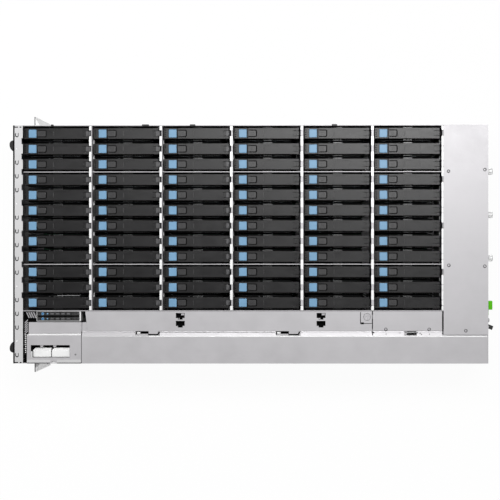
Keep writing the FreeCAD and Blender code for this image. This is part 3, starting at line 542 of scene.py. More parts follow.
@dataclass(frozen=True)
class CircuitBoard:
    """Solder-masked board: fine parallel tracks and scattered pads under a green mask."""

    name: str
    mask: Colour = (0.012, 0.075, 0.035)
    track: Colour = (0.03, 0.17, 0.075)
    pad: Colour = (0.55, 0.47, 0.28)

    def make(self) -> bpy.types.Material:
        """Build the material."""
        kit = ShaderKit.material(self.name)
        where = kit.place()
        cells = kit.node("ShaderNodeTexVoronoi", {"distance": "MANHATTAN"},
                         {"Vector": where, "Scale": 130.0}, "Distance")
        bands = kit.node("ShaderNodeTexWave", {"bands_direction": "DIAGONAL"},
                         {"Vector": where, "Scale": 190.0, "Distortion": 1.5, "Detail": 1.0}, "Fac")
        tracks = kit.blend(bands.over(0.62), (*self.mask, 1.0), (*self.track, 1.0))
        pads = 1.0 - cells.over(0.16)
        colour = kit.blend(pads, tracks, (*self.pad, 1.0))
        normal = kit.bump(bands, 0.1, 0.0003)
        return kit.finish(Base_Color=colour, Roughness=0.42, Metallic=pads * 0.8, Normal=normal)


class Finish(Enum):
    """Every finish on the object."""

    SHEET = SheetSteel("satin_sheet", (0.445, 0.436, 0.450), roughness=0.43, metallic=0.3, cloud=0.11)
    FRONT = SheetSteel("front_sheet", (0.545, 0.543, 0.548), roughness=0.45, metallic=0.3)
    BRIGHT = SheetSteel("bright_zinc", (0.76, 0.76, 0.76), roughness=0.45, metallic=0.3, cloud=0.03)
    SCREEN = SheetSteel("screen_steel", (0.22, 0.22, 0.225), roughness=0.45)
    SCREW = SheetSteel("screw_steel", (0.52, 0.52, 0.52), roughness=0.35, metallic=1.0)
    CARRIER = MouldedPlastic("carrier_grey", (0.005, 0.0046, 0.0052), roughness=0.32, specular=0.42)
    PAD = MouldedPlastic("pad_grey", (0.021, 0.0204, 0.0215), roughness=0.36, specular=0.48)
    # A lighter grey for the tongue tips of rows 1 to 3: painted light on the carrier plastic.
    TONGUE_LIT = MouldedPlastic("tongue_lit_grey", (0.060, 0.059, 0.062), roughness=0.40, specular=0.5)
    CELL = MouldedPlastic("cell_grey", (0.085, 0.083, 0.088), roughness=0.45, specular=0.5)
    GLOSS = MouldedPlastic("gloss_black", (0.006, 0.006, 0.006), roughness=0.26, specular=0.8)
    BLACK = MouldedPlastic("handle_black", (0.012, 0.012, 0.012), roughness=0.45, specular=0.35)
    # Near-black and matte: paints the shade in gaps, grooves, slots and hollows, and colours the black seals
    # and baffle.
    SHADE_BLACK = MouldedPlastic("shade_black", (0.003, 0.003, 0.003), roughness=0.8, specular=0.05)
    BLUE = MouldedPlastic("release_blue", (0.148, 0.295, 0.450), roughness=0.36, specular=0.42)
    DEEP_BLUE = MouldedPlastic("sled_blue", (0.012, 0.110, 0.300), roughness=0.35, specular=0.4, coat=0.1)
    WHITE = MouldedPlastic("block_white", (0.74, 0.74, 0.74), roughness=0.5, specular=0.4)
    GREEN = MouldedPlastic("latch_green", (0.090, 0.470, 0.001), roughness=0.5, specular=0.15)
    FAN = MouldedPlastic("fan_grey", (0.035, 0.035, 0.037), roughness=0.5)
    ALUMINIUM = CastMetal("plain_aluminium", (0.60, 0.60, 0.61), roughness=0.36)
    DRIVE = CastMetal("drive_casting", (0.40, 0.40, 0.405))
    BOARD = CircuitBoard("circuit_board")

    @property
    def material(self) -> bpy.types.Material:
        """The finish's material, made the first time it is asked for."""
        made = bpy.data.materials.get(self.value.name)
        return made or self.value.make()


# ---- geometry nodes -----------------------------------------------------------------------------


class Grower:
    """A geometry-node tree with named inputs, grown into plain meshes."""

    def __init__(self, name: str) -> None:
        """Start a tree that takes a part and a finish."""
        self.tree = bpy.data.node_groups.new(name, "GeometryNodeTree")
        self.tree.interface.new_socket("Geometry", in_out="INPUT", socket_type="NodeSocketGeometry")
        self.tree.interface.new_socket("Geometry", in_out="OUTPUT", socket_type="NodeSocketGeometry")
        self.entry = self.tree.nodes.new("NodeGroupInput")
        self.leave = self.tree.nodes.new("NodeGroupOutput")
        self.keys: dict[str, str] = {}
        self.part = self.ask("Part", "NodeSocketObject")
        self.skin = self.ask("Finish", "NodeSocketMaterial")

    def ask(self, label: str, kind: str) -> bpy.types.NodeSocket:
        """Add a named input and return its socket inside the tree."""
        item = self.tree.interface.new_socket(label, in_out="INPUT", socket_type=kind)
        self.keys[label] = item.identifier
        return next(socket for socket in self.entry.outputs if socket.identifier == item.identifier)

    def node(self, kind: str, settings: dict[str, Any] | None = None,
             inputs: dict[Any, Any] | None = None) -> bpy.types.Node:
        """Add a node with its settings, values and links."""
        return wired(self.tree, kind, settings, inputs)

    def times(self, value: bpy.types.NodeSocket, factor: float) -> bpy.types.NodeSocket:
        """A value times a number."""
        return self.node("ShaderNodeMath", {"operation": "MULTIPLY"}, {0: value, 1: factor}).outputs[0]

    def vector(self, **parts: bpy.types.NodeSocket) -> bpy.types.NodeSocket:
        """A vector of the given parts, nought where none is given."""
        return self.node("ShaderNodeCombineXYZ", None, parts).outputs[0]

    def close(self, points: bpy.types.NodeSocket, rotation: Any = (0.0, 0.0, 0.0)) -> "Grower":
        """Stand the part on the points, make it real and give it its finish.

        Args:
            points: Where the parts stand.
            rotation: How they are turned, one value or a socket.

        Returns:
            This tree, finished.
        """
        part = self.node("GeometryNodeObjectInfo", {"transform_space": "ORIGINAL"}, {"Object": self.part})
        stood = self.node("GeometryNodeInstanceOnPoints", None, {
            "Points": points, "Instance": part.outputs["Geometry"], "Rotation": rotation,
        })
        real = self.node("GeometryNodeRealizeInstances", None, {"Geometry": stood.outputs["Instances"]})
        skinned = self.node("GeometryNodeSetMaterial", None,
                            {"Geometry": real.outputs["Geometry"], "Material": self.skin})
        self.tree.links.new(skinned.outputs["Geometry"], self.leave.inputs[0])
        return self

    def grow(self, name: str, part: Shape, finish: Finish, seed: bpy.types.Mesh | None = None,
             **values: Any) -> bpy.types.Object:
        """Run the tree and keep its result as a plain mesh.

        Args:
            name: The new object's name.
            part: The form or mesh that is repeated.
            finish: Its finish.
            seed: The points or curve that the tree starts from, if it needs one.
            values: The tree's other inputs by name.

        Returns:
            The finished object, at the origin.
        """
        model = link(name + "_model", part.mesh(name) if isinstance(part, Form) else part)
        grown = link(name, seed or bpy.data.meshes.new(name))
        run = grown.modifiers.new("grow", "NODES")
        run.node_group = self.tree
        run[self.keys["Part"]] = model
        run[self.keys["Finish"]] = finish.material
        for label, value in values.items():
            run[self.keys[label]] = value
        result = evaluated(grown, name)
        grown.modifiers.remove(run)
        grown.data = result
        bpy.data.objects.remove(model)
        return grown


def line_grower() -> Grower:
    """A straight line of equal parts, such as the bays of a row."""
    tree = Grower("line_of_parts")
    count = tree.ask("Count", "NodeSocketInt")
    first = tree.ask("First", "NodeSocketVector")
    step = tree.ask("Step", "NodeSocketVector")
    line = tree.node("GeometryNodeMeshLine", {"mode": "OFFSET"},
                     {"Count": count, "Start Location": first, "Offset": step})
    return tree.close(line.outputs["Mesh"])


def lattice_grower() -> Grower:
    """A staggered lattice of cells in the YZ plane, such as a perforated screen."""
    tree = Grower("lattice_of_cells")
    across = tree.ask("Across", "NodeSocketInt")
    upward = tree.ask("Upward", "NodeSocketInt")
    pitch = tree.ask("Pitch", "NodeSocketFloat")
    corner = tree.ask("Corner", "NodeSocketVector")
    rise = tree.times(pitch, math.sqrt(3.0))
    side, up = tree.vector(Y=pitch), tree.vector(Z=rise)
    shift = tree.vector(Y=tree.times(pitch, 0.5), Z=tree.times(rise, 0.5))
    row = tree.node("GeometryNodeMeshLine", {"mode": "OFFSET"}, {"Count": across, "Offset": side})
    column = tree.node("GeometryNodeMeshLine", {"mode": "OFFSET"},
                       {"Count": upward, "Start Location": corner, "Offset": up})
    rows = tree.node("GeometryNodeInstanceOnPoints", None,
                     {"Points": column.outputs["Mesh"], "Instance": row.outputs["Mesh"]})
    field_one = tree.node("GeometryNodeRealizeInstances", None, {"Geometry": rows.outputs["Instances"]})
    field_two = tree.node("GeometryNodeTransform", None,
                          {"Geometry": field_one.outputs["Geometry"], "Translation": shift})
    both = tree.node("GeometryNodeJoinGeometry")
    for source in (field_one, field_two):
        tree.tree.links.new(source.outputs["Geometry"], both.inputs["Geometry"])
    return tree.close(both.outputs["Geometry"])


def places_grower() -> Grower:
    """Equal parts on given places, all turned alike, such as screws and rivets."""
    tree = Grower("parts_on_places")
    facing = tree.ask("Facing", "NodeSocketRotation")
    return tree.close(tree.entry.outputs["Geometry"], facing)


def ring_grower() -> Grower:
    """Equal parts around a shaft along X, such as blades and knurls."""
    tree = Grower("ring_of_parts")
    count = tree.ask("Count", "NodeSocketInt")
    centre = tree.ask("Centre", "NodeSocketVector")
    spot = tree.node("GeometryNodeMeshLine", {"mode": "OFFSET"},
                     {"Count": count, "Start Location": centre, "Offset": (0.0, 0.0, 0.0)})
    index = tree.node("GeometryNodeInputIndex").outputs[0]
    share = tree.node("ShaderNodeMath", {"operation": "DIVIDE"}, {0: index, 1: count}).outputs[0]
    return tree.close(spot.outputs["Mesh"], tree.vector(X=tree.times(share, 2.0 * math.pi)))


# ---- putting pieces on bodies -------------------------------------------------------------------

CHASSIS = "chassis"
STEEL = "plated_steel"
BLACK_PLASTIC = "black_plastic"
BLUE_PLASTIC = "blue_plastic"
CARRIER_PLASTIC = "carrier_plastic"


def fasten(obj: bpy.types.Object, body: str = CHASSIS,
           stands_for: Sequence[str] = ()) -> None:
    """Let a finished piece ride on a body.

    Args:
        obj: The finished object.
        body: The body it moves with.
        stands_for: Solids of the model that it takes the place of.
    """
    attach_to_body(obj, body)
    if stands_for:
        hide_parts(*stands_for)
    LOG.info("%s rides on %s", obj.name, body)


def dress(mesh: bpy.types.Mesh, finish: Finish) -> None:
    """Give a mesh one finish."""
    mesh.materials.clear()
    mesh.materials.append(finish.material)


def attach(name: str, shape: Shape, finish: Finish, slot: str = STEEL, body: str = CHASSIS,
           *stands_for: str) -> None:
    """Make a piece of a form or mesh, with its finish, and let it ride on a body.

    Args:
        name: The new object's name.
        shape: The piece's form or mesh.
        finish: Its finish.
        slot: The record's material slot; not used.
        body: The body it moves with.
        stands_for: Solids of the model that it takes the place of.
    """
    mesh = shape.mesh(name) if isinstance(shape, Form) else shape
    dress(mesh, finish)
    fasten(link(name, mesh), body, stands_for)


def metres(place: Sequence[float]) -> tuple[float, ...]:
    """A place given in millimetres, in metres."""
    return tuple(value * MM for value in place)


def spots(places: Iterable[Sequence[float]]) -> bpy.types.Mesh:
    """A mesh of loose points, given in millimetres."""
    mesh = bpy.data.meshes.new("spots")
    mesh.from_pydata([metres(place) for place in places], [], [])
    return mesh


@dataclass
class Growers:
    """The trees that every sub-assembly shares."""

    line: Grower = field(default_factory=line_grower)
    lattice: Grower = field(default_factory=lattice_grower)
    places: Grower = field(default_factory=places_grower)
    ring: Grower = field(default_factory=ring_grower)

    def scatter(self, name: str, part: Shape, finish: Finish, places: Iterable[Sequence[float]],
                turn: Sequence[float] = (0.0, 0.0, 0.0)) -> None:
        """Stand equal steel parts on given places of the chassis.

        Args:
            name: The new object's name.
            part: The form or mesh that is repeated.
            finish: Its finish.
            places: Where the parts stand, in millimetres.
            turn: How all of them are turned, in radians.
        """
        fasten(self.places.grow(name, part, finish, spots(places), Facing=Euler(turn)))

    def row(self, name: str, part: Shape, finish: Finish, count: int, first: Sequence[float],
            step: Sequence[float]) -> bpy.types.Object:
        """Repeat a part along a line.

        Args:
            name: The new object's name.
            part: The form or mesh that is repeated.
            finish: Its finish.
            count: How many there are.
            first, step: The first one's place and the way to the next, in millimetres.

        Returns:
            The finished object.
        """
        return self.line.grow(name, part, finish, Count=count, First=metres(first), Step=metres(step))


# ---- sub-assemblies -----------------------------------------------------------------------------


@dataclass
class CarrierRow:
    """One row of drive carriers with drives, ejector levers and blue release buttons."""

    growers: Growers
    number: int
    bays: int = 12
    pitch: float = 28.9
    first_bay: float = 208.2
    row_start: float = -426.5
    row_pitch: float = 131.8
    half_width: float = 10.2
    fork: float = 4.9
    top: float = 170.0
    pivot: tuple[float, float] = (114.0, 166.0)
    seal_low: float = 158.9
    seal_high: float = 160.3
    seal_half: float = 13.0

    def frame(self) -> Shape:
        """Two posts, the top bar and the bezel block with the button's well and air grooves."""
        wide, top = self.half_width, self.top
        plan = [(0.5, 14), (6.7, 14), (6.7, 160.4), (109.5, 160.4), (109.5, 14), (115.7, 14), (115.7, 161.6),
                (25.8, 161.6), (25.8, top), (0.5, top)]
        tool = Form().prism(rounded(9.1, -8.1, 24.4, 8.1, 1.4), top - 6.0, top + 2.0)
        for hole in range(4):
            low = -7.0 + 3.9 * hole
            tool.prism(rounded(2.0, low, 4.4, low + 2.2, 0.5, 2), top - 6.0, top + 2.0)
        for slot in range(4):
            low = 30.0 + 32.0 * slot
            for start, stop in ((-1.0, 2.0), (113.7, 118.0)):
                tool.prism(rounded(-5.0, low, 5.0, low + 20.0, 2.0), start, stop, Axis.X)
        return carved(Form().prism(plan, -wide, wide, Axis.Y, 0.7), tool, "carrier_frame")

    def lever(self) -> Shape:
        """The ejector lever: forked bar with a framed thumb pad and a long shallow recess."""
        wide, fork, top = self.half_width, self.fork, self.top
        body = Form().prism([(26.3, -wide), (116.5, -wide), (116.5, -fork), (106.8, -fork), (106.8, fork),
                             (116.5, fork), (116.5, wide), (26.3, wide)], 163.0, top, Axis.Z, 0.5)
        for low, high in ((-wide, -fork), (fork, wide)):
            body.block((116.0, low, 167.2), (122.2, high, top), 0.3)
        body.block((106.0, -5.4, 169.0), (112.0, 5.4, top), 0.2)
        tool = Form().prism(rounded(24.0, -6.9, 43.4, 6.9, 3.0, 5), top - 1.8, top + 1.0)
        tool.prism(rounded(57.0, -6.7, 86.0, 6.7, 3.8, 5), top - 0.8, top + 1.0)
        return carved(body, tool, "lever_bar", 0.25)

    def pad(self) -> Shape:
        """The thumb pad inside its groove, with two ribs, and the lip at the recess's end."""
        top = self.top
        form = Form().prism(rounded(26.6, -5.5, 41.7, 5.5, 2.2, 5), top - 1.9, top + 0.05, Axis.Z, 0.45)
        for low in (-2.2, 1.2):
            form.prism(rounded(31.0, low, 38.0, low + 1.0, 0.4, 3), top - 0.2, top + 0.4, Axis.Z, 0.25, 1)
        return form.prism(rounded(55.4, -4.8, 56.7, 4.8, 0.5), top - 1.0, top + 0.4, Axis.Z, 0.3)

    def button(self) -> Shape:
        """The square release button with soft edges."""
        return Form(50.0).prism(rounded(9.4, -7.8, 24.1, 7.8, 1.2), 166.3, self.top + 0.5, Axis.Z, 0.9, 3)

    def root(self) -> Shape:
        """The root of the pivot tongue, between the arms of the lever's fork."""
        return Form().block((108.0, -4.75, 161.6), (119.2, 4.75, 168.8), 0.3)

    def ribs(self) -> Shape:
        """The polished ribs between the holes at the bezel's front edge."""
        form = Form()
        for low in (-4.6 + 3.9 * rib for rib in range(3)):
            plan = rounded(1.8, low, 4.6, low + 1.4, 0.4, 2)
            form.prism(plan, self.top - 1.0, self.top + 0.15, Axis.Z, 0.2, 1)
        return form

    def tongue(self) -> Shape:
        """The tip of the pivot tongue, which fills the lever's slot and reaches towards the divider."""
        tip = {1: 127.0, 2: 125.6}.get(self.number, 124.3)
        side = [(119.0, 161.6), (tip - 2.5, 161.6), (tip, 163.6), (tip, 167.2), (tip - 1.7, 168.5),
                (119.0, 168.5)]
        form = Form().prism(side, -4.5, 4.5, Axis.Y, 0.5)
        return form.block((117.4, -4.75, 161.7), (121.0, 4.75, 169.8), 0.3)

    def groove(self) -> Shape:
        """The bed of the groove around the thumb pad, in near-black that paints the shade in the groove."""
        body = Form().prism(rounded(27.0, -6.8, 43.3, 6.8, 2.9, 5), self.top - 1.8, self.top - 0.15)
        tool = Form().prism(rounded(24.0, -5.6, 41.8, 5.6, 2.2, 5), self.top - 3.0, self.top + 1.0)
        return carved(body, tool, "pad_groove")

    def pin(self) -> Shape:
        """The lever's pivot pin with domed ends."""
        profile = [(-10.5, 0.0), (-10.45, 1.1), (-10.0, 1.6), (10.0, 1.6), (10.45, 1.1), (10.5, 0.0)]
        return Form().turned(profile, self.pivot, Axis.Y, 12)

    def drive(self) -> Shape:
        """The drive: cast case and raised cover with a spindle boss on both sides."""
        form = Form().block((7.4, -12.6, 13.0), (109.0, 12.6, 159.0), 1.2)
        form.prism(rounded(10.5, 20.0, 106.0, 152.0, 6.0), -13.05, 13.05, Axis.Y, 0.35, 1)
        for side in (-13.05, 13.05):
            profile = [(side * 0.97, 17.0), (side * 0.9999, 17.0), (side, 15.5), (side, 0.0)]
            form.turned(profile, (58.0, 106.0), Axis.Y, 28)
        return form

    def seal(self, start: float, stop: float) -> Form:
        """One length of the flat seal over the drive."""
        half = self.seal_half
        return Form().block((start, -half, self.seal_low), (stop, half, self.seal_high), 0.4)

    def seals(self) -> Shape:
        """The black end seals over the drive, in near-black that also paints the shade in the gaps beside the
        carriers.
        """
        return self.seal(7.0, 54.5).take(self.seal(72.0, 109.2).net)

    def strip(self) -> Shape:
        """The glossy strip between the two end seals."""
        return self.seal(54.7, 71.8)

    def case_ribs(self) -> Shape:
        """Small ribs and a case screw that show in the gap beside each carrier."""
        head = [(160.2, 0.9), (160.7, 0.9), (160.9, 0.5), (160.9, 0.0)]
        form = Form().turned(head, (47.0, 11.7), Axis.Z, 10)
        for left in (77.0 + 4.3 * rib for rib in range(7)):
            form.block((left, -12.9, 160.0), (left + 1.0, -10.9, 161.0), 0.2, 1)
        return form

    def bare_edge(self, start: float) -> None:
        """The bare edge of one drive's cover, which catches the light beside the last bay."""
        last = self.first_bay - self.pitch * (self.bays - 1)
        edge = Form().block((61.0, 12.4, 159.8), (104.0, 14.1, 160.7), 0.25).mesh("drive_edge")
        edge.transform(Matrix.Translation(metres((start, last, 0.0))))
        attach(f"drive_edge_{self.number}", edge, Finish.SCREEN, "drive_casting", f"carriers_{self.number}")

    def build(self) -> None:
        """Repeat every piece over the bays and put it on its body."""
        row = self.number
        start = self.row_start + self.row_pitch * (row - 1)
        # The tongue tips of rows 1 to 3 take the lighter grey and those of rows 4 to 6 the carrier's dark
        # grey: painted light and painted shade on one part.
        tip = Finish.TONGUE_LIT if row < 4 else Finish.CARRIER
        jobs = (
            ("carrier_frames", self.frame, Finish.CARRIER, "carriers", CARRIER_PLASTIC, "carriers_row"),
            ("pivot_tongues", self.tongue, tip, "carriers", CARRIER_PLASTIC, ""),
            ("tongue_roots", self.root, Finish.CARRIER, "carriers", CARRIER_PLASTIC, ""),
            ("bezel_ribs", self.ribs, Finish.GLOSS, "carriers", CARRIER_PLASTIC, ""),
            ("gloss_strips", self.strip, Finish.GLOSS, "carriers", BLACK_PLASTIC, ""),
            ("drive_cases", self.drive, Finish.DRIVE, "carriers", "drive_casting", "drives_row"),
            ("drive_seals", self.seals, Finish.SHADE_BLACK, "carriers", BLACK_PLASTIC, ""),
            ("case_ribs", self.case_ribs, Finish.CELL, "carriers", STEEL, ""),
            ("ejector_levers", self.lever, Finish.CARRIER, "levers", CARRIER_PLASTIC, "levers_row"),
            ("lever_pads", self.pad, Finish.PAD, "levers", CARRIER_PLASTIC, ""),
            ("pad_grooves", self.groove, Finish.SHADE_BLACK, "levers", CARRIER_PLASTIC, ""),
            ("lever_pins", self.pin, Finish.SCREW, "levers", STEEL, ""),
            ("release_buttons", self.button, Finish.BLUE, "buttons", BLUE_PLASTIC, "releases_row"),
        )
        first, step = (start, self.first_bay, 0.0), (0.0, -self.pitch, 0.0)
        for name, shape, finish, body, slot, node in jobs:
            piece = self.growers.row(f"{name}_{row}", shape(), finish, self.bays, first, step)
            fasten(piece, f"{body}_{row}", (f"{node}_{row}",) if node else ())
        if row == 1:
            self.bare_edge(start)


@dataclass
class DriveField:
    """The cross dividers with their hemmed, notched tops, and the partitions' bright edges."""

    growers: Growers
    rows: int = 6
    bays: int = 12
    first_wall: float = -300.9
    wall_pitch: float = 132.2
    first_bay: float = 208.2
    bay_pitch: float = 28.9
    left: float = 222.0
    right: float = -123.9
    hem_low: float = 172.8
    top: float = 174.0

    @property
    def walls(self) -> list[float]:
        """The front face of every divider."""
        return [self.first_wall + self.wall_pitch * row for row in range(self.rows)]

    @property
    def middles(self) -> list[float]:
        """The middle of every bay."""
        return [self.first_bay - self.bay_pitch * bay for bay in range(self.bays)]

    def stand(self, name: str, part: Form, walls: Sequence[float], places: Sequence[float],
              finish: Finish = Finish.BRIGHT) -> None:
        """Repeat a piece along the given dividers.

        Args:
            name: The new object's name.
            part: The piece, drawn about the divider's front face.
            walls: The dividers' places along X.
            places: The pieces' places along each divider.
            finish: The piece's finish.
        """
        self.growers.scatter(name, part, finish, ((wall, place, 0.0) for wall in walls for place in places))

    def rails(self) -> None:
        """Lower walls and top rails, which lean back a little below the hem."""
        form, top = Form(), self.top
        plans: list[Outline] = []
        for row, wall in enumerate(self.walls[:-1]):
            inner, face, back = wall + (2.2 if row < 2 else 0.6), wall + 2.3, wall + 3.3
            plans.append([(face, 1.5), (back, 1.5), (back, 137.0), (face, 137.0)])
            plans.append([(face, 163.0), (wall + 4.2, 163.0), (back, 172.6), (back, top), (inner, top),
                          (inner, self.hem_low), (face, self.hem_low)])
        last = self.walls[-1]
        plans.append([(last, 1.5), (last + 1.0, 1.5), (last + 1.0, 172.9), (last, 172.9)])
        for plan in plans:
            form.prism(plan, self.right, self.left, Axis.Y)
        attach("divider_rails", form, Finish.SHEET, STEEL, CHASSIS, "row_dividers")

    def hems(self) -> None:
        """The rounded hems between the notches, the posts below them and the bent guide tabs."""
        gaps = [middle - self.bay_pitch / 2.0 for middle in self.middles[:-1]]
        front, last = self.walls[:-1], self.walls[-1:]
        for name, walls, low, high in (
            ("first_hems", front[:2], -1.7, 2.5), ("middle_hems", front[2:], -1.7, 3.3),
            ("last_hems", last, -2.2, 1.4),
        ):
            # The hems take the bright finish, paler than the rails' sheet: painted light on their rounded
            # tops.
            for part, half, places in (("long", 9.0, gaps), ("short", 4.1, (217.8, -119.6))):
                plan = rounded(low, -half, high, half, 0.9)
                hem = Form().prism(plan, self.hem_low, self.top + 0.25, Axis.Z, 0.2)
                self.stand(f"{name}_{part}", hem, walls, places)
        # The fillers of the fourth and fifth dividers take the plain sheet and those of the last divider the
        # bright finish: shaded and lit copies of one part.
        plain = [middle for bay, middle in enumerate(self.middles) if bay % 3]
        for name, walls, low, high, places, finish in (
            ("middle_fillers", front[3:], -1.4, 3.0, self.middles, Finish.SHEET),
            ("last_fillers", last, -2.1, 1.4, plain, Finish.BRIGHT),
        ):
            plan = rounded(low, -5.0, high, 5.0, 0.5)
            filler = Form().prism(plan, self.hem_low, self.top + 0.1, Axis.Z, 0.2)
            self.stand(name, filler, walls, places, finish)
        for name, low, high, bevel, walls, places in (
            ("divider_posts", (2.3, -10.0, 136.5), (3.3, 10.0, 163.5), 0.1, front, self.middles),
            ("guide_tabs", (0.3, -3.8, 149.0), (4.4, 3.8, 150.2), 0.3, front, gaps),
            ("last_tabs", (-2.6, -3.8, 136.8), (-1.2, 3.8, 138.0), 0.3, last, gaps),
        ):
            self.stand(name, Form().block(low, high, bevel), walls, places)

    def ridges(self) -> None:
        """The upper edges of the two lengthwise partitions."""
        ridge = Form()
        starts = [-427.3] + [wall + 4.3 for wall in self.walls[:-1]]
        for middle in (135.95, -37.45):
            for start, stop in zip(starts, self.walls):
                ridge.block((start + 1.3, middle - 0.75, 170.4), (stop - 0.6, middle + 0.75, 171.2), 0.2)
        attach("partition_caps", ridge, Finish.SHEET)

    def bumpers(self) -> None:
        """The small black bumpers over the edge of the left side wall."""
        form = Form()
        for middle, half in ((-371.9, 2.5), (-196.8, 6.5), (-108.3, 5.0), (157.6, 5.0)):
            plan = rounded(middle - half, 221.4, middle + half, 224.9, 0.9)
            form.prism(plan, 171.8, 174.5, Axis.Z, 0.4)
        attach("wall_bumpers", form, Finish.BLACK, BLACK_PLASTIC)

    def build(self) -> None:
        """Make the dividers, the partitions' edges and the bumpers."""
        self.rails()
        self.hems()
        self.ridges()
        self.bumpers()


@dataclass
class Screws:
    """Pan-head screws of the covers and rivets of the side walls."""

    growers: Growers
    cover_z: float = 175.0
    lid_z: float = 174.0
    wall: float = 223.5
    centre: tuple[float, float] = (0.0, 0.0)

    def screw(self) -> Shape:
        """A low pan head with a cross recess, standing on the origin along Z."""
        head = [(0.0, 2.0), (0.25, 2.0), (0.6, 1.7), (0.75, 1.1), (0.75, 0.0)]
        body = Form().turned(head, self.centre, Axis.Z, 20)
        tool = Form()
        for plan in (rounded(-1.2, -0.3, 1.2, 0.3, 0.1, 1), rounded(-0.3, -1.2, 0.3, 1.2, 0.1, 1)):
            tool.prism(plan, 0.3, 3.0)
        return carved(body, tool, "pan_screw")

    def well(self) -> Shape:
        """The dark dished ring around a screw head."""
        return Form().turned([(0.0, 3.3), (0.2, 3.2), (0.2, 2.0), (0.02, 1.9)], self.centre, Axis.Z, 24)

    def rivet(self) -> Shape:
        """A flat rivet head standing on the origin along Z."""
        return Form().turned([(0.0, 2.3), (0.3, 2.3), (0.55, 1.7), (0.62, 0.0)], self.centre, Axis.Z, 14)

    def build(self) -> None:
        """Stand the screws on the covers and the rivets on the walls."""
        cover = [(370.8, 136.3), (438.7, 139.3), (371.3, -39.7), (438.5, -41.4), (403.0, -162.0)]
        lid = [(253.5, -159.6), (334.5, -159.6)]
        heads = [(x, y, self.cover_z) for x, y in cover] + [(x, y, self.lid_z) for x, y in lid]
        for name, part, finish in (("cover_screws", self.screw(), Finish.SHEET),
                                   ("screw_wells", self.well(), Finish.CELL)):
            self.growers.scatter(name, part, finish, heads, (0.0, 0.0, 0.6))
        along = [-360.0 + 120.0 * step for step in range(7)]
        for name, side in (("left", 1), ("right", -1)):
            places = [(x, side * self.wall, z) for x in along for z in (12.0, 162.0)]
            outward = (math.radians(-90.0 * side), 0.0, 0.0)
            self.growers.scatter(f"wall_rivets_{name}", self.rivet(), Finish.SHEET, places, outward)


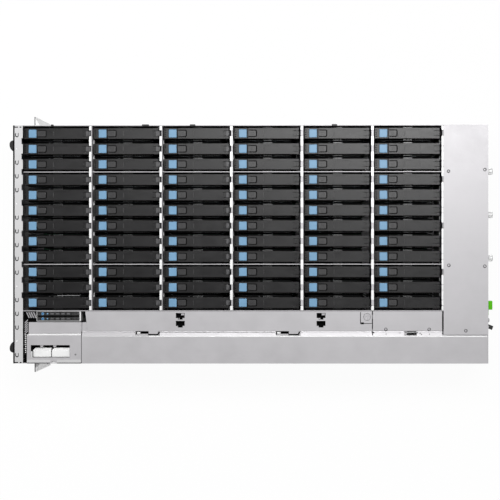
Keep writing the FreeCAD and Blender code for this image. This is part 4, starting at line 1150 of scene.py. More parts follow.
@dataclass
class FrontEnd:
    """Handles, edge trim with painted shade, perforated screens and the power button's ring at the front."""

    growers: Growers
    face: float = -445.0
    handle_low: float = 38.0
    handle_high: float = 116.0
    first_hole: float = 205.1
    hole_pitch: float = 25.8
    holes: int = 17
    round_holes: tuple[int, ...] = (1, 5, 11, 15)
    flange: float = 175.0
    screen_pitch: float = 5.23

    def handle_outline(self, middle: float, outward: float) -> Outline:
        """Draw a handle: straight cheeks and a full round nose, steeper on its outer side.

        Args:
            middle: The handle's middle along Y.
            outward: The way its nose leans, plus or minus one.

        Returns:
            The plan.
        """
        points: Outline = [(self.face, middle - 12.0)]
        for step in range(25):
            share = 2.0 * step / 24.0 - 1.0
            reach = 11.5 + 8.9 * (1.0 - abs(share) ** 2.3) ** 0.62
            lean = outward * 2.4 * (1.0 - share * share)
            points.append((self.face - reach, middle + 11.0 * share + lean))
        points.append((self.face, middle + 12.0))
        return points

    def handles(self) -> None:
        """The two moulded pull handles."""
        body, tool = Form(), Form()
        for outline in (self.handle_outline(189.6, 1.0), self.handle_outline(-197.3, -1.0)):
            middle = sum(y for _, y in outline) / len(outline)
            body.prism(outline, self.handle_low, self.handle_high, Axis.Z, 1.6, 3)
            gap = rounded(self.face - 14.0, 51.0, self.face + 6.0, 103.0, 4.0, 5)
            tool.prism(gap, middle - 30.0, middle + 30.0, Axis.Y)
        mesh = carved(body, tool, "pull_handles", 0.8)
        attach("pull_handles", mesh, Finish.BLACK, BLACK_PLASTIC, CHASSIS, "front_handles")

    def flange_places(self, x: float, wanted: Iterable[int]) -> list[tuple[float, float, float]]:
        """Places of some of the pressed holes along the front flange."""
        return [(x, self.first_hole - self.hole_pitch * place, self.flange) for place in wanted]

    def trim(self) -> None:
        """The near-black strip along the front fold, which paints its dark edge and the shade there, the
        flange's marks, and the baffle behind it.
        """
        # Near-black strip along the front fold: painted shade on its rounded edge.
        form = Form().block((-445.4, -223.3, 172.4), (-442.5, 223.3, 175.25), 0.3)
        for low, high in ((-222.6, -220.6), (219.0, 221.0)):
            form.blocks(0.2, (-442.6, low, 174.0, -436.0, high, 175.15),
                        (-433.2, low, 174.0, -429.6, high, 175.15))
        attach("front_edge_strip", form, Finish.SHADE_BLACK, BLACK_PLASTIC)
        pip = Form().turned([(-0.2, 1.3), (0.25, 1.2), (0.5, 0.7), (0.55, 0.0)], (0.0, 0.0), Axis.Z, 14)
        self.growers.scatter("pilot_pips", pip, Finish.BRIGHT, self.flange_places(-438.5, self.round_holes))
        # Near-black U-shaped rims around the slit holes paint the shade along their edges.
        turns = [math.radians(180.0 + 18.0 * step) for step in range(11)]
        outer = [(2.9 * math.cos(turn), 2.9 * math.sin(turn) - 1.2) for turn in turns]
        inner = [(2.0 * math.cos(turn), 2.0 * math.sin(turn) - 1.2) for turn in reversed(turns)]
        slit = Form().prism([(-2.9, 4.0), *outer, (2.9, 4.0), (2.0, 4.0), *inner, (-2.0, 4.0)], -0.2, 0.06)
        others = (place for place in range(self.holes) if place not in self.round_holes)
        self.growers.scatter("slit_rims", slit, Finish.SHADE_BLACK, self.flange_places(-438.0, others))
        # Dark steel strips on the ears' top edges paint the cut edge dark and the shadow along it.
        attach("ear_edges", Form().blocks(0.2, (-409.5, -241.2, 153.2, -407.3, -223.7, 154.3),
                                          (-409.5, 223.7, 153.2, -407.3, 241.2, 154.3)), Finish.SCREEN)
        attach("front_baffle", Form().blocks(0.3, (-427.0, -222.0, 160.0, -419.9, -125.6, 164.0),
                                             (-419.9, -222.0, 158.0, -403.4, -125.6, 160.5)),
               Finish.SHADE_BLACK, BLACK_PLASTIC)

    def corner_screen(self) -> None:
        """The bent finned screen and the row of plated pips behind the front flange, the pips with painted
        light and a near-black bed that paints the shade behind the screen.
        """
        # The pips take the bright finish, paler than plated sheet: painted light on them where the flange
        # shades them.
        pip = Form().turned([(163.8, 1.2), (174.6, 1.2), (175.2, 0.8), (175.3, 0.0)], (0.0, 0.0), Axis.Z, 12)
        first, step = (-422.4, -169.8, 0.0), (0.0, -3.66, 0.0)
        fasten(self.growers.row("screen_pips", pip, Finish.BRIGHT, 10, first, step))
        # Near-black bed: painted shade behind the screen.
        bed = Form().block((-425.0, -168.6, 160.0), (-416.4, -141.0, 175.3), 0.1)
        attach("screen_bed", bed, Finish.SHADE_BLACK, BLACK_PLASTIC)
        for name, reach, low, high, count, first, step in (
            ("screen_fins", (2.6, -5.6), 160.0, 171.5, 4, (-418.6, -132.8, 0.0), (4.3, 0.0, 0.0)),
            ("screen_blades", (2.9, 3.2), 175.0, 175.8, 6, (-420.7, -144.6, 0.0), (0.0, -4.1, 0.0)),
        ):
            along = Vector(reach)
            side = Vector((-along.y, along.x)).normalized() * 0.75
            corners = (along + side, side - along, -along - side, along - side)
            fin = Form().prism([(corner.x, corner.y) for corner in corners], low, high, Axis.Z, 0.2, 1)
            fasten(self.growers.row(name, fin, Finish.SHEET, count, first, step))

    def screens(self) -> None:
        """Perforated screens behind the air windows of the front and rear panels."""
        cell = Form()
        outer, inner = circle(0.0, 0.0, 3.02, 6), circle(0.0, 0.0, 2.0, 6)
        for side in range(6):
            after = (side + 1) % 6
            cell.prism([outer[side], outer[after], inner[after], inner[side]], -0.4, 0.4, Axis.X)
        mesh = cell.mesh("screen_cell")
        mesh.transform(Matrix.Rotation(math.radians(30.0), 4, "X"))
        for name, corner, across, upward in (("front_screen", (-442.9, -162.0, 20.0), 65, 16),
                                             ("rear_screen", (442.9, -106.0, 10.0), 61, 8)):
            fasten(self.growers.lattice.grow(name, mesh.copy(), Finish.SCREEN, Across=across, Upward=upward,
                                             Pitch=self.screen_pitch * MM, Corner=metres(corner)))

    def build(self) -> None:
        """Make everything at the front."""
        self.handles()
        self.trim()
        self.corner_screen()
        self.screens()
        face = self.face
        profile = [(face - 0.9, 5.6), (face - 0.9, 7.0), (face - 0.4, 7.4), (face, 7.4), (face, 5.6)]
        attach("power_ring", Form().turned(profile, (-213.0, 150.0), Axis.X), Finish.SCREW)


@dataclass
class SledBay:
    """The two thin drive sleds beside the drive field and their round buttons."""

    front: float = -401.1
    length: float = 79.4
    first: float = -130.4
    pitch: float = 9.4
    top: float = 170.5

    def slant(self, left: float, middle: float, wide: float, lean: float, half: float) -> Outline:
        """Draw one slanted bar of the grip's hatching.

        Args:
            left: Where the bar starts along X.
            middle: The sled's middle along Y.
            wide: The bar's width.
            lean: How far its other end is shifted.
            half: Half its length.

        Returns:
            The plan.
        """
        return [(left, middle - half), (left + wide, middle - half), (left + wide + lean, middle + half),
                (left + lean, middle + half)]

    def sled(self, index: int) -> None:
        """One sled: drive case below, framed bezel with air cells, lamp and hatched grip above."""
        front, middle, top = self.front, self.first - self.pitch * index, self.top
        back, number, rider = front + self.length, index + 1, f"sled_{index + 1}"
        body = Form().block((front, middle - 3.5, 158.0), (back, middle + 3.5, top), 0.5)
        body.block((front + 2.0, middle - 3.4, 65.5), (back - 2.0, middle + 3.4, 158.5), 0.6)
        tool = Form().prism(circle(front + 10.4, middle, 2.95), top - 5.0, top + 1.0)
        for left in (front + 23.5 + 10.2 * cell for cell in range(4)):
            tool.prism(rounded(left, middle - 2.4, left + 8.9, middle + 2.4, 0.6, 2), top - 2.4, top + 1.0)
        for left in (front + 64.8 + 2.7 * bar for bar in range(5)):
            tool.prism(self.slant(left, middle, 1.1, 1.2, 2.4), top - 1.6, top + 1.0)
        for left in (front + 1.6 + 2.4 * bar for bar in range(2)):
            tool.prism(rounded(left, middle - 2.3, left + 1.1, middle + 2.3, 0.3, 2), top - 1.6, top + 1.0)
        attach(f"thin_sled_{number}", carved(body, tool, "thin_sled"), Finish.BLACK, CARRIER_PLASTIC, rider,
               f"ssd_sled_{number}")
        floors = Form()
        for left in (front + 23.6 + 10.2 * cell for cell in range(4)):
            floors.block((left + 0.9, middle - 1.7, top - 2.5), (left + 7.8, middle + 1.7, top - 0.3), 0.3)
        for left in (front + 66.2 + 2.7 * bar for bar in range(5)):
            floors.prism(self.slant(left, middle, 0.9, 1.1, 2.2), top - 1.7, top + 0.1)
        for left in (front + 1.8 + 2.4 * bar for bar in range(2)):
            for low in (middle - 1.9, middle + 0.5):
                floors.block((left, low, top - 1.7), (left + 1.0, low + 1.4, top + 0.1), 0.2)
        attach(f"sled_cells_{number}", floors, Finish.CELL, CARRIER_PLASTIC, rider)
        lamp = Form().turned([(top - 0.4, 1.5), (top + 0.2, 1.4), (top + 0.45, 0.8), (top + 0.5, 0.0)],
                             (front + 19.4, middle), Axis.Z, 16)
        attach(f"sled_lamp_{number}", lamp, Finish.BLUE, BLUE_PLASTIC, rider)

    def button(self, index: int) -> None:
        """One round button: light rim and darker dished middle."""
        top, number = self.top, index + 1
        centre = (self.front + 10.4, self.first - self.pitch * index)
        profile = [(167.3, 2.7), (top + 0.2, 2.7), (top + 0.5, 2.4), (top + 0.5, 1.7), (top - 0.2, 1.5),
                   (top - 0.2, 0.0)]
        rim = Form().turned(profile, centre, Axis.Z, 24)
        attach(f"sled_button_rim_{number}", rim, Finish.BLUE, BLUE_PLASTIC, f"sled_button_{number}",
               f"ssd_release_{number}")
        dish = Form().turned([(top - 0.25, 1.75), (top + 0.3, 1.55), (top + 0.3, 0.0)], centre, Axis.Z, 20)
        attach(f"sled_button_dish_{number}", dish, Finish.DEEP_BLUE, BLUE_PLASTIC, f"sled_button_{number}")

    def build(self) -> None:
        """Make both sleds."""
        for index in range(2):
            self.sled(index)
            self.button(index)


@dataclass
class Channel:
    """Details of the closed channel: hooks, near-black floors that paint the shade under the cut-outs, latch
    plate and white blocks.
    """

    lid_top: float = 174.0
    lip_top: float = 172.6
    groove: float = -165.2
    lock: tuple[float, float] = (218.4, -136.3)
    laps: tuple[tuple[float, float], ...] = ((-419.4, -376.2), (-362.8, -317.9))

    def hooks(self) -> None:
        """The near-black floor below all cut-outs, which paints the shade under them, and black pieces that
        paint the shadows in the hook tongues and gaps beside the lid's tabs.
        """
        lip = self.lip_top
        floor = Form().block((-150.0, -158.0, 160.0), (150.0, -127.0, 162.0), 0.3)
        for low, high in ((-215.0, -165.0), (50.0, 100.0), (286.0, 318.0)):
            floor.block((low, -176.0, 160.0), (high, -158.5, 162.0), 0.3)
        attach("channel_floor", floor, Finish.SHADE_BLACK, BLACK_PLASTIC)
        bracket = Form()
        for left in (-213.4, 49.4):
            bracket.block((left + 0.4, -167.6, lip), (left + 6.0, -164.5, lip + 1.0), 0.25)
        attach("hook_brackets", bracket, Finish.BRIGHT)
        # Near-black pieces in the lip: painted shadows in the hook slots and gaps.
        seal = Form()
        tab = [(-1.0, -168.2), (16.2, -168.2), (19.0, -164.0), (21.2, -164.0), (17.8, -170.6), (-1.0, -170.6)]
        nook = [(-24.4, -162.9), (-16.0, -162.9), (-16.0, -164.5), (-22.2, -164.5), (-22.2, -168.8),
                (-24.4, -168.8)]
        for left in (-191.0, 72.2):
            for plan, high in ((tab, 2.0), (nook, 0.9)):
                seal.prism([(left + x, y) for x, y in plan], lip, lip + high, Axis.Z, 0.2)
        seal.blocks(0.2, (292.8, -169.9, lip, 310.6, -166.2, lip + 1.9),
                    (288.6, -165.2, lip, 292.4, -164.0, lip + 0.9))
        seal.blocks(0.1, (228.0, -169.5, lip, 228.9, -162.0, lip + 1.6),
                    (228.9, -166.4, lip, 232.4, -164.8, lip + 1.2),
                    (359.0, -168.5, lip, 360.8, -125.6, lip + 0.5))
        attach("hook_shadow_seals", seal, Finish.SHADE_BLACK, BLACK_PLASTIC)

    def step(self) -> None:
        """The sloped strip along the step, the bead above it, its marks and the small bridges."""
        ramp, groove, edge = Form(), self.groove, self.groove - 0.5
        for low, high in ((-316.0, -216.0), (-169.6, 47.4), (93.8, 227.4), (229.6, 287.6), (311.4, 358.6)):
            foot = 174.3 if low < -300.0 else 173.3
            lower = [(-163.0, 172.62), (groove, 173.15), (groove, 172.4), (-163.0, 172.4)]
            upper = [(edge, foot), (-171.6, 175.0), (-172.2, 175.05), (-172.2, 174.6), (edge, 172.4)]
            ramp.prism(lower, low, high, Axis.X).prism(upper, low, high, Axis.X)
        attach("step_ramps", ramp, Finish.SHEET)
        # The bead takes paler copies of the sheet, the front finish ahead and the bright finish behind:
        # painted highlight along the bend.
        profile = [(-171.4, 174.7), (-171.8, 175.15), (-172.7, 175.3), (-173.6, 175.15), (-174.0, 174.7)]
        for name, low, high, finish in (("step_bead_front", -316.2, -190.0, Finish.FRONT),
                                        ("step_bead", -190.0, 443.0, Finish.BRIGHT)):
            attach(name, Form(50.0).prism(profile, low, high, Axis.X), finish)
        marks = Form().block((-169.6, -165.8, 172.6), (47.4, -165.0, 173.5), 0.1)
        for place in ((254.0, -168.4), (335.0, -168.4), (280.0, -166.0), (312.5, -165.6), (317.5, -167.0),
                      (320.0, -168.6)):
            marks.turned([(173.0, 0.9), (174.6, 0.9), (174.7, 0.0)], place, Axis.Z, 10)
        attach("step_marks", marks, Finish.CELL)
        bridge = Form().block((-318.6, -163.4, 171.2), (-307.0, -146.3, 172.5), 0.2)
        bridge.block((443.1, -222.6, 174.2), (444.0, -170.0, 174.96), 0.1)
        bridge.prism([(-317.6, 172.3), (-317.6, 174.95), (-317.2, 174.9), (-316.2, 172.5), (-316.2, 172.3)],
                     -163.2, -146.4, Axis.Y)
        attach("channel_bridges", bridge, Finish.SHEET)
        tongue = Form()
        for left in (-140.0, 123.9):
            tongue.blocks(0.4, (left + 9.6, -133.4, 169.0, left + 15.6, -128.6, 171.0),
                          (left + 4.4, -141.0, 168.0, left + 7.0, -138.4, 170.0))
        attach("cut_out_tongues", tongue, Finish.SHEET)

    def latch_plate(self) -> None:
        """The small plate around the lid's turn lock, and the lock's raised face."""
        top, low = self.lid_top, self.lid_top - 0.2
        plate = Form().block((206.6, -148.0, low), (227.2, -127.2, top + 0.35), 0.15)
        hole = Form().prism(circle(*self.lock, 6.9, 32), top - 3.0, top + 3.0)
        attach("lock_plate", carved(plate, hole, "lock_plate"), Finish.SHEET, STEEL, "lid")
        # Near-black strips along the plate's two edges paint the shadow under its rim.
        edge = Form().blocks(0.1, (205.5, -149.0, low, 206.6, -127.2, top + 0.2),
                             (205.5, -149.0, low, 227.2, -147.9, top + 0.2))
        edge.block((206.4, -150.0, low), (212.6, -146.4, top + 0.45), 0.2)
        attach("lock_plate_edge", edge, Finish.SHADE_BLACK, BLACK_PLASTIC, "lid")
        profile = [(167.6, 6.4), (174.3, 6.4), (174.75, 5.9), (174.75, 4.7), (174.35, 4.4), (174.35, 2.6),
                   (174.7, 2.2), (174.7, 0.0)]
        face = Form().turned(profile, self.lock, Axis.Z, 36)
        face.block((213.4, -140.3, 167.6), (233.4, -132.3, 169.6), 0.4)
        slot = Form().prism(rounded(213.9, -137.0, 222.9, -135.6, 0.5, 2), 174.1, 176.0)
        attach("turn_lock", carved(face, slot, "turn_lock"), Finish.SHEET, STEEL, "lock", "lid_lock")

    def blocks(self) -> None:
        """The two white blocks in the window, with the bent tabs behind them."""
        form, tool = Form(), Form()
        for start in (-408.4, -373.2):
            form.prism([(-211.4, 149.8), (-194.4, 149.8), (-194.4, 169.2), (-198.2, 171.8), (-211.4, 171.8)],
                       start, start + 33.6, Axis.X, 0.6, 3)
            tool.prism([(start - 1.0, -199.6), (start + 5.2, -193.4), (start - 1.0, -193.4)], 149.0, 173.0)
        mesh = carved(form, tool, "white_blocks", 0.4)
        attach("white_blocks", mesh, Finish.WHITE, "white_plastic", CHASSIS, "service_blocks")
        shelf = Form().block((-376.0, -223.3, 170.4), (-363.0, -216.0, 172.4), 0.3)
        attach("notch_shelf", shelf, Finish.WHITE)
        tabs = Form()
        for start in (-395.4, -371.0):
            tabs.prism([(start, -189.2), (start + 7.0, -189.2), (start + 4.6, -193.6), (start + 1.4, -193.6)],
                       171.0, 173.0, Axis.Z, 0.3)
        attach("window_tabs", tabs, Finish.SHEET)
        # Near-black floor under the blocks: painted shade in the window.
        floor = Form().block((-415.0, -216.0, 146.0), (-336.0, -186.0, 149.6), 0.3)
        attach("window_floor", floor, Finish.SHADE_BLACK, BLACK_PLASTIC)

    def corner(self) -> None:
        """The corner cover's lap, brighter as painted light on its bend, its bead in the bright finish as a
        painted highlight, the strip under the window, and the seam beside it with dark strips that paint the
        cover's edge shadow.
        """
        flat = Form().block((-416.2, -166.8, 174.9), (-317.8, -146.2, 175.12), 0.05)
        attach("corner_flat", flat, Finish.SHEET)
        lap, seam = Form(), Form()
        for low, high in self.laps:
            lap.block((low, -222.3, 174.9), (high, -216.3, 175.12), 0.05)
            # Dark strips along the cover's lower edge: painted shadow.
            seam.block((low, -223.6, 174.0), (high, -221.7, 175.2), 0.05)
        lap.block((-412.2, -212.0, 172.0), (-409.2, -200.4, 175.05), 0.1)
        # Lap in the paler front finish: painted light on the bend under the window.
        attach("corner_lap", lap, Finish.FRONT)
        # Bead in the bright finish: painted highlight on the bend.
        profile = [(-167.9, 174.9), (-168.4, 175.2), (-169.2, 175.3), (-170.0, 175.2), (-170.5, 174.9)]
        attach("corner_bead", Form(50.0).prism(profile, -419.5, -318.4, Axis.X), Finish.BRIGHT)
        seam.prism([(-318.0, -169.8), (-315.6, -165.0), (-314.6, -165.0), (-317.0, -169.8)], 172.6, 175.1)
        seam.block((-317.8, -222.4, 174.4), (-316.8, -169.8, 175.03), 0.05)
        attach("corner_seam", seam, Finish.CELL)
        dimple = Form().turned([(174.9, 1.9), (175.06, 1.8), (175.06, 0.0)], (-328.3, -206.7), Axis.Z, 16)
        attach("corner_dimple", dimple, Finish.SCREEN)

    def build(self) -> None:
        """Make everything along the channel."""
        self.hooks()
        self.step()
        self.latch_plate()
        self.blocks()
        self.corner()


@dataclass
class FanModule:
    """Guard wires, knurled thumbscrew and rotor of one slide-out fan."""

    growers: Growers
    number: int
    first_y: float = 172.0
    pitch: float = 81.67
    shaft_z: float = 122.0
    rear: float = 446.4
    blades: int = 7
    hub_radius: float = 14.4
    tip_radius: float = 35.0
    spans: int = 6
    chords: int = 8

    @property
    def middle(self) -> tuple[float, float]:
        """The shaft's place in the YZ plane."""
        return (self.first_y - self.pitch * (self.number - 1), self.shaft_z)

    def guard(self) -> None:
        """The round wires of the finger guard and the motor's seat behind them."""
        number, rear = self.number, self.rear
        form = Form()
        for radius in (20.0, 25.0, 30.0, 35.0):
            form.hoop(self.middle, rear - 0.6, radius, 0.75, Axis.X)
        attach(f"fan_guard_{number}", form, Finish.SCREW, STEEL, f"fan_{number}")
        seat = Form().turned([(436.6, 15.6), (rear - 0.4, 15.6), (rear + 0.1, 15.0), (rear + 0.1, 0.0)],
                             self.middle, Axis.X, 40)
        attach(f"fan_motor_{number}", seat, Finish.FAN, "fan_housing", f"fan_{number}")

    def thumbscrew(self) -> None:
        """The knurled head of the captive thumbscrew, with its slot."""
        number, rear = self.number, self.rear
        y, z = self.middle[0] - 35.0, self.middle[1] + 32.5
        profile = [(rear, 5.8), (rear + 7.9, 5.8), (rear + 8.7, 4.9), (rear + 8.8, 0.0)]
        slot = rounded(y - 7.0, z - 0.6, y + 7.0, z + 0.6, 0.2, 1)
        tool = Form().prism(slot, rear + 8.65, rear + 10.0, Axis.X)
        head = carved(Form().turned(profile, (y, z), Axis.X), tool, "thumbscrew")
        attach(f"thumbscrew_{number}", head, Finish.BRIGHT, STEEL, f"fan_{number}")
        ridge = Form().prism([(5.6, -0.35), (6.1, 0.0), (5.6, 0.35)], rear + 0.8, rear + 7.6, Axis.X)
        knurl = self.growers.ring.grow(f"thumbscrew_knurl_{number}", ridge, Finish.BRIGHT, Count=30,
                                       Centre=metres((0.0, y, z)))
        fasten(knurl, f"fan_{number}")

    def blade(self) -> Form:
        """One curved blade about the X axis, twisted and widening from hub to tip."""
        net = bmesh.new()
        grid: list[list[bmesh.types.BMVert]] = []
        for way in (span / self.spans for span in range(self.spans + 1)):
            radius = self.hub_radius + (self.tip_radius - self.hub_radius) * way
            pitch = math.radians(34.0 + 22.0 * way)
            wide = (12.0 + 3.2 * way) / radius
            row = []
            for share in (2.0 * chord / self.chords - 1.0 for chord in range(self.chords + 1)):
                turn = share * wide * math.sin(pitch) + 0.10 * way
                along = 408.0 + share * 15.0 * math.cos(pitch) + 2.2 * (1.0 - share * share)
                row.append(net.verts.new((along, radius * math.cos(turn), radius * math.sin(turn))))
            grid.append(row)
        for inner, outer in zip(grid, grid[1:]):
            for chord in range(self.chords):
                net.faces.new((inner[chord], inner[chord + 1], outer[chord + 1], outer[chord]))
        bmesh.ops.recalc_face_normals(net, faces=net.faces)
        bmesh.ops.solidify(net, geom=net.faces[:], thickness=1.3)
        bmesh.ops.recalc_face_normals(net, faces=net.faces)
        return Form(50.0).take(net)

    def rotor(self) -> None:
        """The hub with its domed nose and the ring of curved blades."""
        number = self.number
        hub = Form(30.0).turned([(385.0, 0.0), (385.0, 8.0), (386.2, 12.5), (389.5, 14.7), (393.0, 15.0),
                                 (431.0, 15.0), (431.0, 0.0)], self.middle, Axis.X, 40)
        attach(f"rotor_hub_{number}", hub, Finish.BLACK, BLACK_PLASTIC, f"rotor_{number}",
               f"fan_rotor_{number}")
        ring = self.growers.ring.grow(f"rotor_blades_{number}", self.blade(), Finish.BLACK, Count=self.blades,
                                      Centre=metres((0.0, *self.middle)))
        fasten(ring, f"rotor_{number}")

    def build(self) -> None:
        """Make the module's pieces."""
        self.guard()
        self.thumbscrew()
        self.rotor()


@dataclass
class PowerSupply:
    """Inlet insert, blower guard, pull bar and green latch of one power supply."""

    number: int
    low: float = 5.0
    pitch: float = 83.0
    face: float = 446.0
    right: float = -168.0

    @property
    def base(self) -> float:
        """The supply's underside."""
        return self.low + self.pitch * (self.number - 1)

    def mount(self, name: str, shape: Shape, finish: Finish, slot: str = STEEL) -> None:
        """Put one piece on this supply."""
        attach(f"{name}_{self.number}", shape, finish, slot, f"supply_{self.number}")

    def inlet(self) -> None:
        """The moulded inlet with its rim and three blades."""
        base, face = self.base, self.face
        left, right = self.right + 30.0, self.right + 10.0
        body = Form().prism(rounded(right - 1.6, base + 6.4, left + 1.6, base + 35.6, 2.0), face, face + 0.8,
                            Axis.X, 0.3)
        body.prism(rounded(right, base + 8.0, left, base + 34.0, 0.4, 1), face - 15.0, face + 0.4, Axis.X)
        opening = [(right + 1.6, base + 9.6), (left - 1.6, base + 9.6), (left - 1.6, base + 28.0),
                   (left - 5.2, base + 32.4), (right + 5.2, base + 32.4), (right + 1.6, base + 28.0)]
        tool = Form().prism(opening, face - 13.6, face + 3.0, Axis.X)
        self.mount("inlet_shell", carved(body, tool, "inlet_shell"), Finish.BLACK, BLACK_PLASTIC)
        pins = Form()
        middle = (left + right) / 2.0
        for y, z in ((middle - 5.0, base + 15.0), (middle + 5.0, base + 15.0), (middle, base + 25.0)):
            plan = rounded(y - 1.0, z - 2.0, y + 1.0, z + 2.0, 0.5, 2)
            pins.prism(plan, face - 14.0, face - 2.5, Axis.X, 0.2, 1)
        self.mount("inlet_pins", pins, Finish.SCREW)

    def blower(self) -> None:
        """The round blower guard above the inlet."""
        y, z, face = self.right + 27.0, self.base + 56.0, self.face
        # Near-black disc behind the guard: painted shade inside the blower.
        dark = Form().turned([(face - 0.2, 12.2), (face + 0.12, 12.2), (face + 0.12, 0.0)], (y, z), Axis.X)
        self.mount("blower_dark", dark, Finish.SHADE_BLACK, BLACK_PLASTIC)
        form = Form()
        for radius in (3.6, 6.4, 9.2, 12.0):
            form.hoop((y, z), face + 0.55, radius, 0.55, Axis.X, 32)
        for wide, tall in ((12.0, 0.5), (0.5, 12.0)):
            plan = rounded(y - wide, z - tall, y + wide, z + tall, 0.3, 1)
            form.prism(plan, face + 0.1, face + 0.6, Axis.X)
        self.mount("blower_guard", form, Finish.SCREW)

    def grip(self) -> None:
        """The tilted black pull bar and the small steel stud beside it."""
        x, y, face = self.face + 5.4, self.right + 11.5, self.face
        bar = [(x - 4.9, y - 2.25), (x + 2.25, y - 4.9), (x + 4.9, y + 2.25), (x - 2.25, y + 4.9)]
        form = Form().prism(bar, self.base + 37.6, self.base + 74.4, Axis.Z, 0.9, 3)
        self.mount("pull_bar", form, Finish.BLACK, BLACK_PLASTIC)
        stud = Form().turned([(face, 4.0), (face + 1.6, 4.0), (face + 2.8, 3.0), (face + 3.1, 0.0)],
                             (self.right + 25.0, self.base + 72.5), Axis.X, 24)
        self.mount("supply_stud", stud, Finish.SHEET)

    def latch(self) -> None:
        """The green thumb latch with ridges on its tab."""
        number, face = self.number, self.face + 0.4
        low, high = self.base + 60.0, self.base + 74.0
        form = Form().prism([(face, -134.0), (face + 0.9, -134.0), (face + 0.9, -123.3), (face + 8.0, -123.3),
                             (face + 8.0, -106.8), (face, -106.8)], low, high, Axis.Z, 0.7, 3)
        for y in (-120.5 + 3.4 * ridge for ridge in range(4)):
            plan = rounded(y, low + 2.0, y + 1.4, high - 2.0, 0.6, 3)
            form.prism(plan, face + 7.6, face + 8.5, Axis.X, 0.25, 1)
        attach(f"thumb_latch_{number}", form, Finish.GREEN, "green_plastic", f"supply_latch_{number}",
               f"power_latch_{number}")

    def build(self) -> None:
        """Make the supply's pieces."""
        self.inlet()
        self.blower()
        self.grip()
        self.latch()


@dataclass
class PortModule:
    """Liners and lamps of the rear ports."""

    right: float = -110.0
    base: float = 82.0
    face: float = 445.6
    wall: float = 0.9

    def build(self) -> None:
        """Line every port and add the lamps beside the network ports."""
        body, tool, face, wall = Form(), Form(), self.face, self.wall
        ports = [(8.0 + step, 10.0, 14.0, 14.0) for step in (0, 17)]
        ports += [(8.0 + step, 40.0, 18.0, 10.0) for step in (0, 21, 42)]
        for y, z, wide, tall in ports:
            low_y, low_z = self.right + y, self.base + z
            high_y, high_z = low_y + wide, low_z + tall
            body.prism(rounded(low_y, low_z, high_y, high_z, 0.3, 1), face - 11.5, face + 0.5, Axis.X)
            opening = rounded(low_y + wall, low_z + wall, high_y - wall, high_z - wall, 0.4, 2)
            tool.prism(opening, face - 10.6, face + 3.0, Axis.X)
        attach("port_liners", carved(body, tool, "port_liners"), Finish.BLACK, BLACK_PLASTIC)
        lamps = Form()
        for step in (0.0, 17.0):
            lamps.turned([(face, 1.1), (face + 0.5, 0.9), (face + 0.6, 0.0)],
                         (self.right + 15.0 + step, self.base + 28.0), Axis.X, 14)
        attach("port_lamps", lamps, Finish.GREEN, "green_plastic")


def coat_solids() -> None:
    """Give the solids that show as they stand their finishes."""
    coats = {
        Finish.SHEET: ("base_pan", "channel_wall", "rear_cover", "rear_panel", "side_duct_cover",
                       "channel_lid", "channel_rear_lid", "front_corner_cover", "drive_partitions"),
        Finish.FRONT: ("front_panel",),
        # The rack ears take the bright finish, paler than their plating, which paints the light that washes
        # out their faces.
        Finish.BRIGHT: ("ssd_cage", "rack_ear_left", "rack_ear_right"),
        Finish.FAN: ("fan_module_1", "fan_module_2", "fan_module_3"),
        Finish.ALUMINIUM: ("power_supply_1", "power_supply_2", "heat_sinks", "rear_port_module"),
        Finish.BOARD: ("mainboard", "drive_backplanes"),
        Finish.BLACK: ("power_button",),
    }
    for finish, nodes in coats.items():
        for name in nodes:
            dress(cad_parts[name].data, finish)


# ---- stage --------------------------------------------------------------------------------------


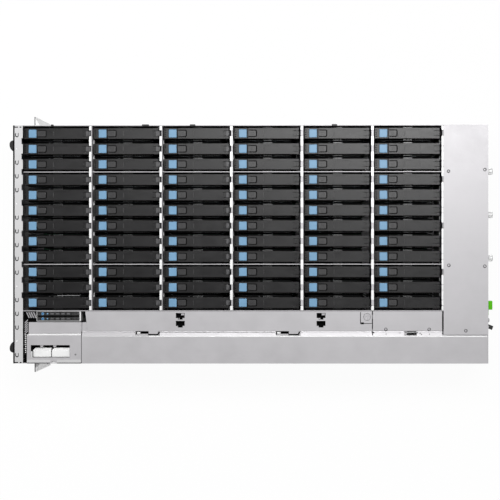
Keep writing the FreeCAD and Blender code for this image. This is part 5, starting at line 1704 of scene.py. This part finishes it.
@dataclass
class Studio:
    """Floor, soft light and the camera of the photograph's view."""

    ceiling: float = 0.20
    lens: float = 96.13
    sensor: float = 36.0
    shift: float = -0.08
    camera_place: tuple[float, float, float] = (0.0980, -0.0099, 2.675)
    camera_turn: tuple[float, float, float] = (-0.021, 0.547, -0.034)

    def floor(self) -> None:
        """A pale floor that shows white to the camera and keeps a faint shadow."""
        form = Form().block((-6000.0, -6000.0, -6.0), (6000.0, 6000.0, -0.4), 0.0)
        obj = link("studio_floor", form.mesh("studio_floor"))
        kit = ShaderKit.material("studio_floor")
        seen = kit.node("ShaderNodeLightPath", output="Is Camera Ray")
        shown = kit.node("ShaderNodeLightPath", output="Is Glossy Ray")
        pale = kit.node("ShaderNodeBsdfDiffuse", None, {"Color": (0.88, 0.88, 0.88, 1.0)})
        white = kit.node("ShaderNodeEmission", None, {"Color": (1.0, 1.0, 1.0, 1.0), "Strength": 1.0})
        mixed = kit.node("ShaderNodeMixShader", None, {0: (seen + shown) * 0.95, 1: pale, 2: white})
        kit.node("ShaderNodeOutputMaterial", None, {"Surface": mixed})
        obj.data.materials.append(kit.owner)

    def sky(self) -> None:
        """A studio with white walls and a darker ceiling."""
        kit = ShaderKit(bpy.data.worlds.new("studio"))
        where = kit.node("ShaderNodeTexCoord", output="Generated")
        height = kit.node("ShaderNodeSeparateXYZ", None, {"Vector": where}, "Z")
        level = kit.node(
            "ShaderNodeMapRange", {"interpolation_type": "SMOOTHSTEP"},
            {"Value": height, "From Min": 0.30, "From Max": 0.85, "To Min": 1.0, "To Max": self.ceiling},
        )
        light = kit.node("ShaderNodeBackground", None, {"Strength": level})
        kit.node("ShaderNodeOutputWorld", None, {"Surface": light})
        bpy.context.scene.world = kit.owner

    def lamp(self, name: str, place: Sequence[float], size: Sequence[float], power: float) -> None:
        """A flat soft lamp aimed at the middle of the object.

        Args:
            name: The lamp's name.
            place: Where it hangs, in metres.
            size: Its two sides, in metres.
            power: Its power, in watts.
        """
        data = bpy.data.lights.new(name, "AREA")
        data.shape = "RECTANGLE"
        data.size, data.size_y = size
        data.energy = power
        obj = bpy.data.objects.new(name, data)
        obj.location = place
        obj.rotation_euler = (Vector((0.0, 0.0, 0.15)) - Vector(place)).to_track_quat("-Z", "Y").to_euler()
        bpy.context.scene.collection.objects.link(obj)

    def camera(self) -> None:
        """The camera above the object, as the photograph was taken."""
        data = bpy.data.cameras.new("photo_camera")
        data.lens = self.lens
        data.sensor_width = self.sensor
        data.shift_x = self.shift
        obj = bpy.data.objects.new("photo_camera", data)
        angles = [math.radians(angle) for angle in self.camera_turn]
        turns = [Matrix.Rotation(angle, 3, axis) for angle, axis in zip(angles, "XYZ")]
        obj.matrix_world = Matrix.Translation(self.camera_place) @ (turns[0] @ turns[1] @ turns[2]).to_4x4()
        bpy.context.scene.collection.objects.link(obj)
        bpy.context.scene.camera = obj

    def build(self) -> None:
        """Set up the stage."""
        self.floor()
        self.sky()
        self.lamp("key_lamp", (0.26, 0.85, 2.75), (1.6, 0.6), 55.0)
        self.lamp("side_lamp", (-1.7, 0.3, 1.5), (1.0, 1.0), 13.0)
        self.camera()
        bpy.context.scene.view_settings.view_transform = "Standard"


def main() -> None:
    """Build every sub-assembly in order."""
    logging.basicConfig(level=logging.INFO, format="%(name)s: %(message)s")
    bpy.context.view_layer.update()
    growers = Growers()
    coat_solids()
    for row in range(1, 7):
        CarrierRow(growers, row).build()
    makers: list[Callable[[], None]] = [
        DriveField(growers).build, Screws(growers).build, FrontEnd(growers).build, SledBay().build,
        Channel().build, PortModule().build,
    ]
    makers += [FanModule(growers, number).build for number in (1, 2, 3)]
    makers += [PowerSupply(number).build for number in (1, 2)]
    makers.append(Studio().build)
    for make in makers:
        make()


if __name__ == "__main__":
    main()
